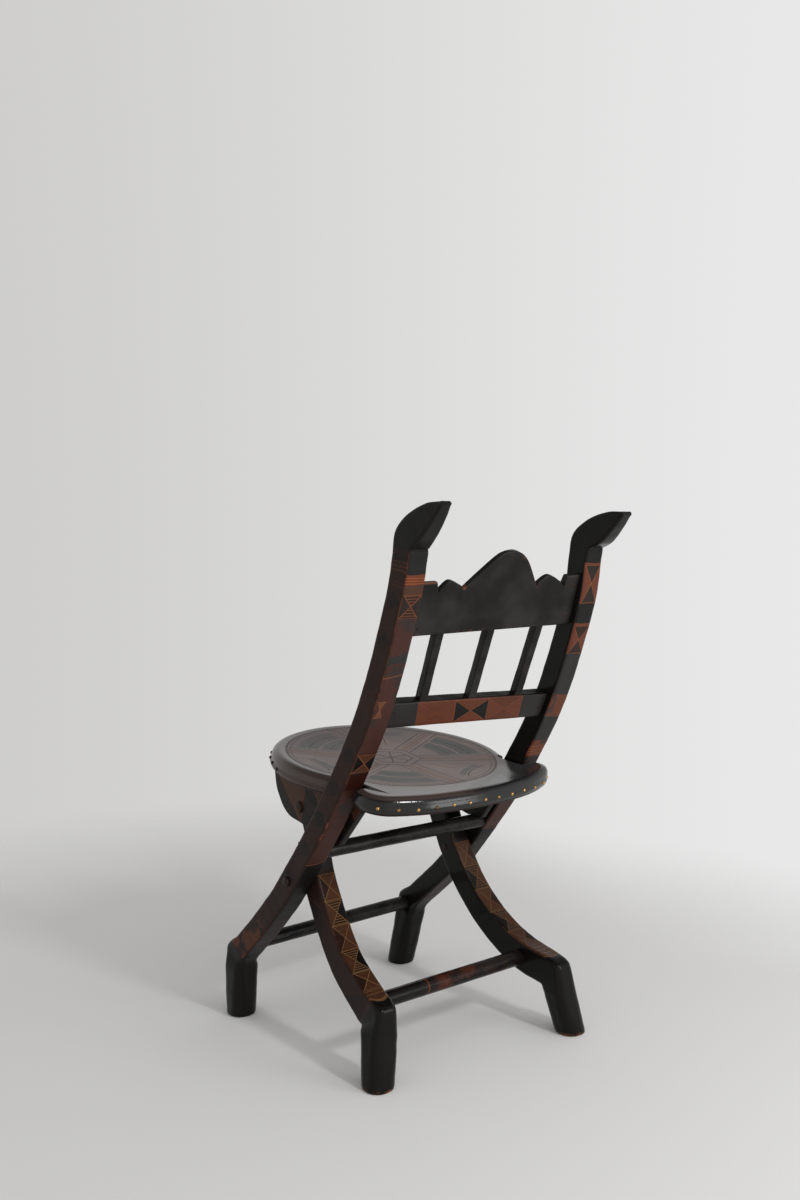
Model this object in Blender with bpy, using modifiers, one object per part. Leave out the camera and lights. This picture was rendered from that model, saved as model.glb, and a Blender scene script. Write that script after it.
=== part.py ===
# Folding chair with crossed legs, horned back posts and a leather covered seat.
# Metres, +Z up, the sitter faces -Y and the sitter's left is +X.
# Heights are from the floor; "reach" is the distance behind the cross pivot, along +Y.
import math

import bmesh
import bpy
from mathutils import Matrix, Vector

# Clearances
GAP = 0.0003            # between pieces that touch
BORE_CLEAR = 0.0003     # around bolts, rods and tenons
NOTCH_CLEAR = 0.0075    # in front of and behind each post in the seat's notches
NOTCH_SIDE_CLEAR = 0.0055   # beside each post in the seat's notches

# Where the two pairs of legs cross
CROSS_Y = -0.0873
CROSS_HEIGHT = 0.262
RACK_DEG = 2.2          # each side frame leans this much against the other, by hand

# Long members: front foot, knee, leg, back post and horn
LONG_WIDTH = 0.0375
LONG_DEPTH = 0.0375
LONG_FACE_X = 0.2018    # outer face at the cross pivot
LONG_SPLAY = 0.0467     # the outer face comes in by this share of the height gained
LONG_EDGE = 0.004
KNEE_REACH = -0.1565
KNEE_HEIGHT = 0.110
KNEE_DEPTH = 0.050
LONG_LEG = ((-0.057, 0.200), (0.0, CROSS_HEIGHT))
LONG_POST = ((0.106, 0.400), (0.195, 0.550), (0.252, 0.700), (0.267, 0.772))
HORN_FRONT = ((0.248, 0.772), (0.255, 0.806), (0.282, 0.828), (0.320, 0.841), (0.352, 0.8425))
HORN_UNDER = ((0.286, 0.772), (0.309, 0.790), (0.331, 0.812), (0.345, 0.827), (0.354, 0.837))
HORN_TIP_WIDTH = 0.020
HORN_TAPER = 1.5        # over 1 keeps the width until near the tip
HORN_TIP_SWAY = 0.008   # both tips bend this far to the sitter's left
HORN_RAISE = {"left": -0.010, "right": 0.006}

# Feet
FOOT_WIDTH = 0.042      # across the flats at the floor
FOOT_EDGE = 0.017
KNEE_EDGE = 0.009       # the feet are round, the legs square
FOOT_BEVEL = 0.003
FOOT_SHOULDER = 0.6     # share of the knee's height
FRONT_FOOT_REACH = -0.171
FRONT_FOOT_X = {"left": 0.1865, "right": 0.1765}
REAR_FOOT_X = 0.182

# Short members: rear foot, knee, leg and the arm that carries the seat
SHORT_WIDTH = 0.036
SHORT_DEPTH = 0.043
SHORT_EDGE = 0.004
SHORT_CROSS_GAP = 0.0016    # outer face to the long member at the crossing
SHORT_KNEE_DEPTH = 0.047
SHORT_KNEE_HEIGHT = 0.101
SHORT_ARM_IN = 0.0085       # the arm leans in by this much at the seat pivot
SHORT_ARM_END = (-0.0015, -0.007, 0.018)    # from the seat pivot to the arm's end
SHORT_LEG = ((0.0, 0.006, CROSS_HEIGHT), (0.004, 0.043, 0.203), (0.011, 0.090, 0.153),
             (0.0175, 0.150, 0.117))
SHORT_KNEE_OUT = 0.0215
SHORT_KNEE_REACH = {"left": 0.186, "right": 0.221}
REAR_FOOT_LEAN = {"left": 0.016, "right": 0.022}

# Seat pivot, on the short members' arms
SEAT_PIVOT_REACH = -0.035
SEAT_PIVOT_DROP = 0.0516    # under the seat board

# Seat
SEAT_TILT_DEG = 6.0
SEAT_TOP_HEIGHT = 0.4377    # rim, above the seat's own origin
SEAT_ORIGIN_REACH = 0.049
SEAT_FRONT_RADIUS = 0.194
SEAT_FRONT_CENTRE = -0.044
SEAT_REAR = ((0.1695, 0.050), (0.178, 0.090), (0.181, 0.122), (0.172, 0.146), (0.150, 0.162), (0.090, 0.180))
SEAT_REAR_END = 0.187
SEAT_THICK = 0.0285
SEAT_ROUND = 0.010
SEAT_DISH = 0.008
DISH_RINGS = (0.86, 0.66, 0.42, 0.16)      # shares of the outline
LEATHER = 0.003
LEATHER_SKIRT = 0.024

# Cheeks under the seat, hooked over the rest rod
CHEEK_OUTER_X = 0.1533
CHEEK_THICK = 0.013
CHEEK_EDGE = 0.0015
CHEEK_FRONT = -0.108
CHEEK_SCROLL = ((-0.102, 0.0336), (-0.092, 0.0516), (-0.080, 0.0653), (-0.062, 0.0744), (-0.031, 0.0771))
CHEEK_HEEL = (0.121, 0.0192)    # reach, and drop under the seat board, as in the scroll
CHEEK_REAR = 0.133
CHEEK_TAIL_BACK = 0.025     # behind the rest rod's centre
CHEEK_TAIL_RISE = 0.011     # over the rest rod's centre
CHEEK_HOOK_CLEAR = 0.0006
HOOK_START_DEG = 118
HOOK_END_DEG = 38
HOOK_STEPS = 6
LAP_ROOM = 0.15         # the cutter's size across and past the arm's end
LAP_LENGTH = 0.049      # from the seat pivot down to the shoulder of the arm's lap

# Rods
REST_ROD_RADIUS = 0.012
REST_ROD_RISE = 0.051   # over the cross pivot
REST_ROD_BACK = 0.006   # behind the long members' centre line
FRONT_ROD_RADIUS = 0.012
FRONT_ROD_REACH = -0.158
FRONT_ROD_HEIGHT = 0.117
REAR_ROD_RADIUS = 0.0125
REAR_ROD_REACH = 0.160
REAR_ROD_HEIGHT = 0.107
ROD_SOCKET = 0.016

# Back rails and spindles
RAIL_THICK = 0.018
RAIL_DEPTH = 0.044
RAIL_HEIGHT = {"left": 0.5415, "right": 0.532}
RAIL_EDGE = 0.003
RAIL_HOUSING = 0.011
CREST_THICK = 0.018
CREST_BOTTOM = {"left": 0.6575, "right": 0.665}
CREST_EDGE = 0.0025
CREST_END_HEIGHT = 0.0815
CREST_STEP = {"left": 0.1155, "right": -0.1226}
# The humps along the crest's top as (place, height) on the rail, from the left
CREST_LEFT_HUMP = ((0.111, 0.0668), (0.1064, 0.0733), (0.0935, 0.0828), (0.0743, 0.0754), (0.067, 0.0705))
CREST_HUMP = ((0.067, 0.0705), (0.0431, 0.0926), (0.0192, 0.1138), (-0.0055, 0.124), (-0.0172, 0.1232),
              (-0.0304, 0.1172), (-0.0507, 0.0938), (-0.0669, 0.0668))
CREST_RIGHT_HUMP = ((-0.0669, 0.0668), (-0.0724, 0.0749), (-0.0881, 0.0825), (-0.1092, 0.073),
                    (-0.1205, 0.0643))
SPINDLE_SIZE = 0.014
SPINDLE_SPACING = 0.092
SPINDLE_TENON = 0.008
SPINDLE_EDGE = 0.0015

# Bolts and washers
CROSS_BOLT_RADIUS = 0.005
CROSS_HEAD_RADIUS = 0.0085
SEAT_BOLT_RADIUS = 0.005
SEAT_HEAD_RADIUS = 0.010
HEAD_RISE = 0.004
HEAD_CURVE = ((0.0, 1.0), (0.45, 0.9), (0.8, 0.6), (1.0, 0.15), (1.0, 0.0))    # shares of radius and rise
WASHER_RADIUS = 0.0095
WASHER_THICK = 0.002
WASHER_SINK = 0.0023    # spot face in the short members
BOLT_END = 0.002        # shown past its washer

# Mesh steps
PATH_STEPS = 4
CORNER_STEPS = 3
ROUND_STEPS = 20
SEAT_STEPS = 22
SEAT_REAR_STEPS = 3
RIM_STEPS = 3
NOTCH_STEPS = 4
HORN_STEPS = 3
CREST_STEPS = 2

SIDES = {"left": 1, "right": -1}
CUT_REACH = 0.03        # how far cutters run past what they cut
EMPTY_SIZE = 0.05
REST_ROD_HEIGHT = CROSS_HEIGHT + REST_ROD_RISE


def start_scene():
    for old in list(bpy.data.objects):
        bpy.data.objects.remove(old, do_unlink=True)
    parts = bpy.data.collections.new("folding_chair")
    cutters = bpy.data.collections.new("cutters")
    for made in (parts, cutters):
        bpy.context.scene.collection.children.link(made)
    return parts, cutters


def material(name, colour, roughness, metallic):
    made = bpy.data.materials.new(name)
    made.use_nodes = True
    shader = made.node_tree.nodes["Principled BSDF"]
    shader.inputs["Base Color"].default_value = (*colour, 1.0)
    shader.inputs["Roughness"].default_value = roughness
    shader.inputs["Metallic"].default_value = metallic
    return made


PARTS, CUTTERS = start_scene()
BLACK_WOOD = material("black_lacquered_wood", (0.018, 0.013, 0.012), 0.30, 0.0)
BROWN_WOOD = material("brown_stained_wood", (0.085, 0.022, 0.012), 0.38, 0.0)
LEATHER_LOOK = material("seat_leather", (0.32, 0.22, 0.18), 0.50, 0.0)
IRON = material("dark_iron", (0.05, 0.045, 0.04), 0.45, 0.9)


def add_object(name, mesh, look, place=None):
    made = bpy.data.objects.new(name, mesh)
    PARTS.objects.link(made)
    if place is not None:
        made.matrix_world = place
    mesh.materials.clear()
    mesh.materials.append(look)
    mesh.shade_smooth()
    mesh.set_sharp_from_angle(angle=math.radians(35))
    return made


def add_cutter(made):
    for holder in list(made.users_collection):
        holder.objects.unlink(made)
    CUTTERS.objects.link(made)
    made.hide_render = True
    made.display_type = "WIRE"
    return made


def cut(target, *tools):
    for tool in tools:
        step = target.modifiers.new("cut_" + tool.name, "BOOLEAN")
        step.operation = "DIFFERENCE"
        step.solver = "EXACT"
        step.object = tool


def round_edges(target, width):
    step = target.modifiers.new("round_edges", "BEVEL")
    step.width = width
    step.segments = 2
    step.limit_method = "ANGLE"
    step.angle_limit = math.radians(40)


# Smooth curve through the points (Catmull-Rom), the same number of steps in each span
def smooth_curve(points, steps=PATH_STEPS):
    knots = [Vector(point) for point in points]
    knots = [2 * knots[0] - knots[1]] + knots + [2 * knots[-1] - knots[-2]]
    found = []
    for a, b, c, d in zip(knots, knots[1:], knots[2:], knots[3:]):
        for step in range(steps):
            t = step / steps
            found.append(b + 0.5 * t * ((c - a) + t * ((2 * a - 5 * b + 4 * c - d)
                                                       + t * (3 * b - a - 3 * c + d))))
    return found + [knots[-2]]


# A rounded rectangle round a centre, wide along one axis and deep along the other
def section(centre, across, along, width, depth, edge):
    edge = min(edge, 0.49 * min(width, depth))
    points = []
    for turn, (side, front) in enumerate(((1, 1), (-1, 1), (-1, -1), (1, -1))):
        for step in range(CORNER_STEPS + 1):
            angle = math.pi / 2 * (turn + step / CORNER_STEPS)
            u = side * (width / 2 - edge) + edge * math.cos(angle)
            v = front * (depth / 2 - edge) + edge * math.sin(angle)
            points.append(centre + across * u + along * v)
    return points


# A closed skin over rings of equal counts, with both ends capped
def loft(name, rings, look):
    shape = bmesh.new()
    loops = [[shape.verts.new(point) for point in ring] for ring in rings]
    for low, high in zip(loops, loops[1:]):
        for here in range(len(low)):
            after = (here + 1) % len(low)
            shape.faces.new((low[here], low[after], high[after], high[here]))
    shape.faces.new(loops[0][::-1])
    shape.faces.new(loops[-1])
    bmesh.ops.recalc_face_normals(shape, faces=shape.faces)
    return add_object(name, finish_mesh(name, shape), look)


def finish_mesh(name, shape):
    mesh = bpy.data.meshes.new(name)
    shape.to_mesh(mesh)
    shape.free()
    return mesh


def frame_of(origin, x_axis, y_axis):
    x_axis = x_axis.normalized()
    z_axis = x_axis.cross(y_axis).normalized()
    turn = Matrix((x_axis, z_axis.cross(x_axis), z_axis)).transposed()
    return Matrix.Translation(origin) @ turn.to_4x4()


def cylinder(name, start, end, radius, look=BLACK_WOOD):
    shape = bmesh.new()
    line = end - start
    turn = line.to_track_quat("Z", "Y").to_matrix().to_4x4()
    place = Matrix.Translation((start + end) / 2) @ turn
    bmesh.ops.create_cone(shape, cap_ends=True, segments=ROUND_STEPS, radius1=radius, radius2=radius,
                          depth=line.length)
    return add_object(name, finish_mesh(name, shape), look, place)


def box(name, place, size, look=BLACK_WOOD):
    shape = bmesh.new()
    bmesh.ops.create_cube(shape, size=1.0)
    bmesh.ops.scale(shape, vec=size, verts=shape.verts)
    return add_object(name, finish_mesh(name, shape), look, place)


# A flat outline, cut from board of the given thickness
def plate(name, outline, thick, place, look):
    flat = bpy.data.curves.new(name + "_outline", "CURVE")
    flat.dimensions = "2D"
    flat.fill_mode = "BOTH"
    flat.extrude = thick / 2
    spline = flat.splines.new("POLY")
    spline.points.add(len(outline) - 1)
    for point, (u, v) in zip(spline.points, outline):
        point.co = (u, v, 0.0, 1.0)
    spline.use_cyclic_u = True
    guide = bpy.data.objects.new(name + "_guide", flat)
    PARTS.objects.link(guide)
    mesh = bpy.data.meshes.new_from_object(guide.evaluated_get(bpy.context.evaluated_depsgraph_get()))
    bpy.data.objects.remove(guide, do_unlink=True)
    shape = bmesh.new()
    shape.from_mesh(mesh)
    bmesh.ops.remove_doubles(shape, verts=shape.verts, dist=1e-6)
    bmesh.ops.dissolve_limit(shape, angle_limit=math.radians(0.5), verts=shape.verts, edges=shape.edges)
    bmesh.ops.recalc_face_normals(shape, faces=shape.faces)
    return add_object(name, finish_mesh(name, shape), look, place)


# A profile of (radius, height) pairs turned about an axis; it runs down its outer side
def turned(name, profile, place, look, closed=False):
    mesh = bpy.data.meshes.new(name)
    count = len(profile)
    edges = [(here, here + 1) for here in range(count - 1)]
    if closed:
        edges.append((count - 1, 0))
    mesh.from_pydata([(radius, 0.0, height) for radius, height in profile], edges, [])
    made = add_object(name, mesh, look, place)
    spin = made.modifiers.new("turn", "SCREW")
    spin.axis = "Z"
    spin.steps = ROUND_STEPS
    spin.render_steps = ROUND_STEPS
    spin.use_merge_vertices = True
    spin.merge_threshold = 1e-5
    return made


def leaned(side, reach, height):
    angle = SIDES[side] * math.radians(RACK_DEG)
    up = height - CROSS_HEIGHT
    return Vector((CROSS_Y + reach * math.cos(angle) - up * math.sin(angle),
                   CROSS_HEIGHT + reach * math.sin(angle) + up * math.cos(angle)))


def long_face(height):
    return LONG_FACE_X - LONG_SPLAY * (height - CROSS_HEIGHT)


def long_centre_x(height):
    return long_face(height) - LONG_WIDTH / 2


# Centre line of a long member from knee to horn, in (y, z)
def long_line(side):
    top_reach, top_height = LONG_POST[-1]
    top = (top_reach, top_height + HORN_RAISE[side])
    knots = ((KNEE_REACH, KNEE_HEIGHT),) + LONG_LEG + LONG_POST[:-1] + (top,)
    return [leaned(side, *point) for point in smooth_curve(knots)]


# Point of the long centre line at a height, and the direction upwards there
def long_at(side, height):
    line = long_line(side)
    for low, high in zip(line, line[1:]):
        if high.y >= height or high is line[-1]:
            share = (height - low.y) / (high.y - low.y)
            point = low.lerp(high, share)
            return Vector((SIDES[side] * long_centre_x(height), point.x, point.y)), (high - low).normalized()


def long_ring(side, centre, along, width, depth, edge, x=None):
    sign = SIDES[side]
    middle = long_centre_x(centre.y) if x is None else x
    return section(Vector((sign * middle, centre.x, centre.y)), Vector((sign, 0.0, 0.0)),
                   Vector((0.0, along.x, along.y)), width, depth, edge)


def path_normals(line):
    normals = []
    for here in range(len(line)):
        run = line[min(here + 1, len(line) - 1)] - line[max(here - 1, 0)]
        normals.append(Vector((run.y, -run.x)).normalized())
    return normals


# Foot rings from the floor up, narrowing to a rounded end
def foot_rings(sign, x, floor_y, top, top_width):
    rings = []
    for height, narrow in ((0.0, 2 * FOOT_BEVEL), (FOOT_BEVEL, 0.0), (FOOT_SHOULDER * top.z, 0.0)):
        share = height / top.z
        centre = Vector((x, floor_y, height)).lerp(Vector((top.x, top.y, height)), share)
        size = FOOT_WIDTH + (top_width - FOOT_WIDTH) * share - narrow
        edge = FOOT_EDGE + (KNEE_EDGE - FOOT_EDGE) * share
        rings.append(section(Vector((sign * centre.x, centre.y, height)), Vector((sign, 0.0, 0.0)),
                             Vector((0.0, 1.0, 0.0)), size, size, edge))
    return rings


def long_member(side):
    line = long_line(side)
    normals = path_normals(line)
    lean = normals[1]
    mitre = (Vector((1.0, 0.0)) + lean).normalized()
    foot_top = Vector((long_centre_x(line[0].y), line[0].x, line[0].y))
    foot_y = leaned(side, FRONT_FOOT_REACH, 0.0).x
    rings = foot_rings(SIDES[side], FRONT_FOOT_X[side], foot_y, foot_top, LONG_WIDTH)
    rings.append(long_ring(side, line[0], mitre, LONG_WIDTH, KNEE_DEPTH, KNEE_EDGE))
    for centre, normal in zip(line[1:], normals[1:]):
        rings.append(long_ring(side, centre, normal, LONG_WIDTH, LONG_DEPTH, LONG_EDGE))
    fronts = smooth_curve(HORN_FRONT, HORN_STEPS)
    unders = smooth_curve(HORN_UNDER, HORN_STEPS)
    for step in range(1, len(fronts)):
        front = leaned(side, fronts[step].x, fronts[step].y + HORN_RAISE[side])
        under = leaned(side, unders[step].x, unders[step].y + HORN_RAISE[side])
        share = (step / (len(fronts) - 1)) ** HORN_TAPER
        width = LONG_WIDTH + (HORN_TIP_WIDTH - LONG_WIDTH) * share
        centre_x = long_centre_x(fronts[0].y) + SIDES[side] * HORN_TIP_SWAY * share
        rings.append(long_ring(side, (front + under) / 2, (under - front).normalized(), width,
                               (under - front).length, LONG_EDGE, centre_x))
    return loft("long_member_" + side, rings, BLACK_WOOD)


def short_outer_x():
    return long_face(CROSS_HEIGHT) - LONG_WIDTH - SHORT_CROSS_GAP


# Height just under the seat board at a reach behind the cross pivot
def under_seat(reach):
    tilt = math.radians(SEAT_TILT_DEG)
    level = SEAT_TOP_HEIGHT - (SEAT_THICK + GAP) / math.cos(tilt)
    return level - math.tan(tilt) * (reach - SEAT_ORIGIN_REACH)


def seat_pivot_height():
    return under_seat(SEAT_PIVOT_REACH) - SEAT_PIVOT_DROP


# Centre line of a short member from the seat pivot's end to the knee
def short_line(side):
    knee = (SHORT_KNEE_OUT, SHORT_KNEE_REACH[side], SHORT_KNEE_HEIGHT)
    pivot = Vector((-SHORT_ARM_IN, SEAT_PIVOT_REACH, seat_pivot_height()))
    arm = (pivot + Vector(SHORT_ARM_END), pivot, (pivot + Vector(SHORT_LEG[0])) / 2)
    middle = short_outer_x() - SHORT_WIDTH / 2
    return [Vector((middle + point.x, CROSS_Y + point.y, point.z))
            for point in smooth_curve(arm + SHORT_LEG + (knee,))]


def short_at(side, height):
    line = short_line(side)
    for high, low in zip(line, line[1:]):
        if low.z <= height or low is line[-1]:
            return high.lerp(low, (height - high.z) / (low.z - high.z))


def short_ring(side, centre, along, depth, edge=SHORT_EDGE):
    sign = SIDES[side]
    return section(Vector((sign * centre.x, centre.y, centre.z)), Vector((sign, 0.0, 0.0)),
                   along, SHORT_WIDTH, depth, edge)


def short_member(side):
    line = short_line(side)
    rings = []
    for here, centre in enumerate(line[:-1]):
        run = line[here + 1] - line[max(here - 1, 0)]
        along = Vector((0.0, -run.z, run.y)).normalized()
        rings.append(short_ring(side, centre, along, SHORT_DEPTH))
    knee = line[-1]
    mitre = (along + Vector((0.0, 1.0, 0.0))).normalized()
    rings.append(short_ring(side, knee, mitre, SHORT_KNEE_DEPTH, KNEE_EDGE))
    floor_y = knee.y + REAR_FOOT_LEAN[side]
    rings += foot_rings(SIDES[side], REAR_FOOT_X, floor_y, knee, SHORT_WIDTH)[::-1]
    return loft("short_member_" + side, rings, BLACK_WOOD)


def pivot_point(reach, height, x):
    return Vector((x, CROSS_Y + reach, height))


def seat_pivot(x):
    return pivot_point(SEAT_PIVOT_REACH, seat_pivot_height(), x)


# Place whose local +Z points out of the chair's side
def side_place(side, point):
    turn = Matrix.Rotation(SIDES[side] * math.pi / 2, 4, "Y")
    return Matrix.Translation(point) @ turn


def bolt(name, side, reach, height, face_x, inner_x, radius, head_radius):
    shank = face_x + GAP - inner_x + GAP + WASHER_THICK + BOLT_END
    head = tuple((head_radius * out, HEAD_RISE * up) for out, up in HEAD_CURVE)
    profile = head + ((radius, 0.0), (radius, -shank), (0.0, -shank))
    place = side_place(side, pivot_point(reach, height, SIDES[side] * (face_x + GAP)))
    return turned(name, profile, place, IRON)


def washer(name, side, reach, height, inner_x, radius):
    bore = radius + BORE_CLEAR
    profile = ((WASHER_RADIUS, 0.0), (WASHER_RADIUS, -WASHER_THICK), (bore, -WASHER_THICK), (bore, 0.0))
    place = side_place(side, pivot_point(reach, height, SIDES[side] * (inner_x - GAP)))
    return turned(name, profile, place, IRON, closed=True)


def cross_cutter(name, reach, height, from_x, to_x, radius):
    start, end = pivot_point(reach, height, from_x), pivot_point(reach, height, to_x)
    return add_cutter(cylinder(name, start, end, radius))


def rod_cutter(rod, start, end, radius):
    return add_cutter(cylinder(rod + "_socket", start, end, radius + BORE_CLEAR))


# Seat outline in the seat's own plane, from the front's middle round the left side
def seat_outline():
    x, y = SEAT_REAR[0]
    last = math.atan2(y - SEAT_FRONT_CENTRE, x)
    half = []
    for step in range(SEAT_STEPS):
        angle = -math.pi / 2 + (last + math.pi / 2) * step / SEAT_STEPS
        half.append(Vector((SEAT_FRONT_RADIUS * math.cos(angle),
                            SEAT_FRONT_CENTRE + SEAT_FRONT_RADIUS * math.sin(angle))))
    rear = SEAT_REAR + ((0.0, SEAT_REAR_END), (-SEAT_REAR[-1][0], SEAT_REAR[-1][1]))
    half += smooth_curve(rear, SEAT_REAR_STEPS)[:-SEAT_REAR_STEPS]
    mirrored = [Vector((-point.x, point.y)) for point in half[-2:0:-1]]
    return half + mirrored


def inset(outline, distance):
    moved = []
    for here, point in enumerate(outline):
        run = outline[(here + 1) % len(outline)] - outline[here - 1]
        moved.append(point + Vector((-run.y, run.x)).normalized() * distance)
    return moved


def seat_frame():
    origin = Vector((0.0, CROSS_Y + SEAT_ORIGIN_REACH, SEAT_TOP_HEIGHT))
    return Matrix.Translation(origin) @ Matrix.Rotation(-math.radians(SEAT_TILT_DEG), 4, "X")


# Rings of the seat's upper skin, a given depth under the leather's outer face
def seat_skin(depth):
    outline = seat_outline()
    place = seat_frame()
    rings = []
    for step in range(RIM_STEPS + 1):
        angle = math.pi / 2 * step / RIM_STEPS
        reach = SEAT_ROUND - (SEAT_ROUND - depth) * math.cos(angle)
        height = -SEAT_ROUND + (SEAT_ROUND - depth) * math.sin(angle)
        rings.append([place @ Vector((p.x, p.y, height)) for p in inset(outline, reach)])
    flat = inset(outline, SEAT_ROUND)
    for share in DISH_RINGS:
        height = -depth - SEAT_DISH * (1 - share ** 2)
        rings.append([place @ Vector((p.x * share, p.y * share, height)) for p in flat])
    return rings


def seat_side_ring(depth, height):
    place = seat_frame()
    return [place @ Vector((p.x, p.y, height)) for p in inset(seat_outline(), depth)]


def seat_board():
    depth = LEATHER + GAP
    low_edge = [seat_side_ring(depth + CHEEK_EDGE, -SEAT_THICK),
                seat_side_ring(depth, -SEAT_THICK + CHEEK_EDGE)]
    return loft("seat_board", low_edge + seat_skin(depth), BLACK_WOOD)


def seat_leather():
    skirt = [seat_side_ring(LEATHER, -LEATHER_SKIRT), seat_side_ring(0.0, -LEATHER_SKIRT)]
    return loft("seat_leather", seat_skin(LEATHER)[::-1] + skirt + seat_skin(0.0), LEATHER_LOOK)


# The room that a post needs in the seat, open to the side
def notch_cutter(side):
    sign = SIDES[side]
    low = SEAT_TOP_HEIGHT - SEAT_THICK - CUT_REACH
    rings = []
    inner = long_face(SEAT_TOP_HEIGHT) - LONG_WIDTH - NOTCH_SIDE_CLEAR
    width = LONG_WIDTH + NOTCH_SIDE_CLEAR + CUT_REACH
    for step in range(NOTCH_STEPS + 1):
        point, up = long_at(side, low + step * (SEAT_THICK + 2 * CUT_REACH) / NOTCH_STEPS)
        rings.append(section(Vector((sign * (inner + width / 2), point.y, point.z)), Vector((sign, 0.0, 0.0)),
                             Vector((0.0, up.y, -up.x)), width, LONG_DEPTH + 2 * NOTCH_CLEAR, LONG_EDGE))
    return add_cutter(loft("notch_" + side, rings, BLACK_WOOD))


def rest_rod_end(side):
    point, up = long_at(side, REST_ROD_HEIGHT)
    inner = long_face(REST_ROD_HEIGHT) - LONG_WIDTH
    return Vector((SIDES[side] * inner, point.y + REST_ROD_BACK, REST_ROD_HEIGHT))


def front_rod_end(side):
    point = leaned(side, FRONT_ROD_REACH, FRONT_ROD_HEIGHT)
    inner = long_face(FRONT_ROD_HEIGHT) - LONG_WIDTH
    return Vector((SIDES[side] * inner, point.x, FRONT_ROD_HEIGHT))


def rear_rod_end(side):
    inner = short_at(side, REAR_ROD_HEIGHT).x - SHORT_WIDTH / 2
    return Vector((SIDES[side] * inner, CROSS_Y + REAR_ROD_REACH, REAR_ROD_HEIGHT))


# A round rod between two members, let into a socket at each end
def round_rod(name, end_of, radius, holders):
    left, right = end_of("left"), end_of("right")
    run = (left - right).normalized()
    made = cylinder(name, right - run * (ROD_SOCKET - GAP), left + run * (ROD_SOCKET - GAP), radius)
    socket = rod_cutter(name, right - run * ROD_SOCKET, left + run * ROD_SOCKET, radius)
    for holder in holders:
        cut(holder, socket)
    return made


# Frame of a back rail: X along it to the left, Y up it, from the middle of its ends
def rail_frame(heights):
    left, lean_left = long_at("left", heights["left"])
    right, lean_right = long_at("right", heights["right"])
    lean = (lean_left + lean_right) / 2
    reach = abs(left.x - right.x) / 2 - LONG_WIDTH / 2 + RAIL_HOUSING
    return frame_of((left + right) / 2, left - right, Vector((0.0, lean.x, lean.y))), reach


def lower_rail():
    place, half = rail_frame(RAIL_HEIGHT)
    made = box("lower_rail", place, (2 * (half - GAP), RAIL_DEPTH, RAIL_THICK))
    round_edges(made, RAIL_EDGE)
    housing = (2 * half, RAIL_DEPTH + 2 * BORE_CLEAR, RAIL_THICK + 2 * BORE_CLEAR)
    return made, add_cutter(box("lower_rail_housing", place, housing)), place


def crest_outline(half):
    top = [(half, CREST_END_HEIGHT), (CREST_STEP["left"], CREST_END_HEIGHT)]
    for knots in (CREST_LEFT_HUMP, CREST_HUMP, CREST_RIGHT_HUMP):
        top += [tuple(point) for point in smooth_curve(knots, CREST_STEPS)[:-1]]
    top += [CREST_RIGHT_HUMP[-1], (CREST_STEP["right"], CREST_END_HEIGHT), (-half, CREST_END_HEIGHT)]
    return [(-half, 0.0), (half, 0.0)] + top


def crest_rail():
    place, half = rail_frame(CREST_BOTTOM)
    made = plate("crest_rail", crest_outline(half - GAP), CREST_THICK, place, BLACK_WOOD)
    round_edges(made, CREST_EDGE)
    middle = place @ Matrix.Translation((0.0, CREST_END_HEIGHT / 2, 0.0))
    housing = (2 * half, CREST_END_HEIGHT + 2 * BORE_CLEAR, CREST_THICK + 2 * BORE_CLEAR)
    return made, add_cutter(box("crest_rail_housing", middle, housing)), place


def spindle(name, shift, low_place, high_place, holders):
    start = low_place @ Vector((shift, RAIL_DEPTH / 2, 0.0))
    end = high_place @ Vector((shift, 0.0, 0.0))
    run = (end - start).normalized()
    across = (high_place.to_3x3() @ Vector((1.0, 0.0, 0.0)))
    place = frame_of((start + end) / 2, across, run)
    length = (end - start).length + 2 * SPINDLE_TENON
    made = box(name, place, (SPINDLE_SIZE, length - 2 * GAP, SPINDLE_SIZE))
    round_edges(made, SPINDLE_EDGE)
    size = SPINDLE_SIZE + 2 * BORE_CLEAR
    mortise = add_cutter(box(name + "_mortise", place, (size, length, size)))
    for holder in holders:
        cut(holder, mortise)
    return made


# Outline of a cheek in (y, z): front scroll, belly, hook over the rest rod, tail, then the seat's underside
def cheek_outline(side):
    rod = rest_rod_end(side)
    share = CHEEK_OUTER_X / abs(rod.x)
    other = rest_rod_end("right" if side == "left" else "left")
    rod_y = (rod.y + other.y) / 2 + (rod.y - other.y) / 2 * share
    radius = REST_ROD_RADIUS + CHEEK_HOOK_CLEAR
    hook = []
    for step in range(HOOK_STEPS + 1):
        angle = math.radians(HOOK_START_DEG + (HOOK_END_DEG - HOOK_START_DEG) * step / HOOK_STEPS)
        hook.append((rod_y + radius * math.cos(angle), REST_ROD_HEIGHT + radius * math.sin(angle)))
    tail = (rod_y + CHEEK_TAIL_BACK, REST_ROD_HEIGHT + CHEEK_TAIL_RISE)
    front = [hung_point(CHEEK_FRONT, 0.0)] + [hung_point(*point) for point in CHEEK_SCROLL]
    return front + hook + [tail, hung_point(*CHEEK_HEEL), hung_point(CHEEK_REAR, 0.0)]


# A point that hangs a given drop under the seat board
def hung_point(reach, drop):
    return (CROSS_Y + reach, under_seat(reach) - drop)


def cheek(side):
    middle = SIDES[side] * (CHEEK_OUTER_X - CHEEK_THICK / 2)
    place = frame_of(Vector((middle, 0.0, 0.0)), Vector((0.0, 1.0, 0.0)), Vector((0.0, 0.0, 1.0)))
    made = plate("cheek_" + side, cheek_outline(side), CHEEK_THICK, place, BROWN_WOOD)
    round_edges(made, CHEEK_EDGE)
    return made


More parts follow.
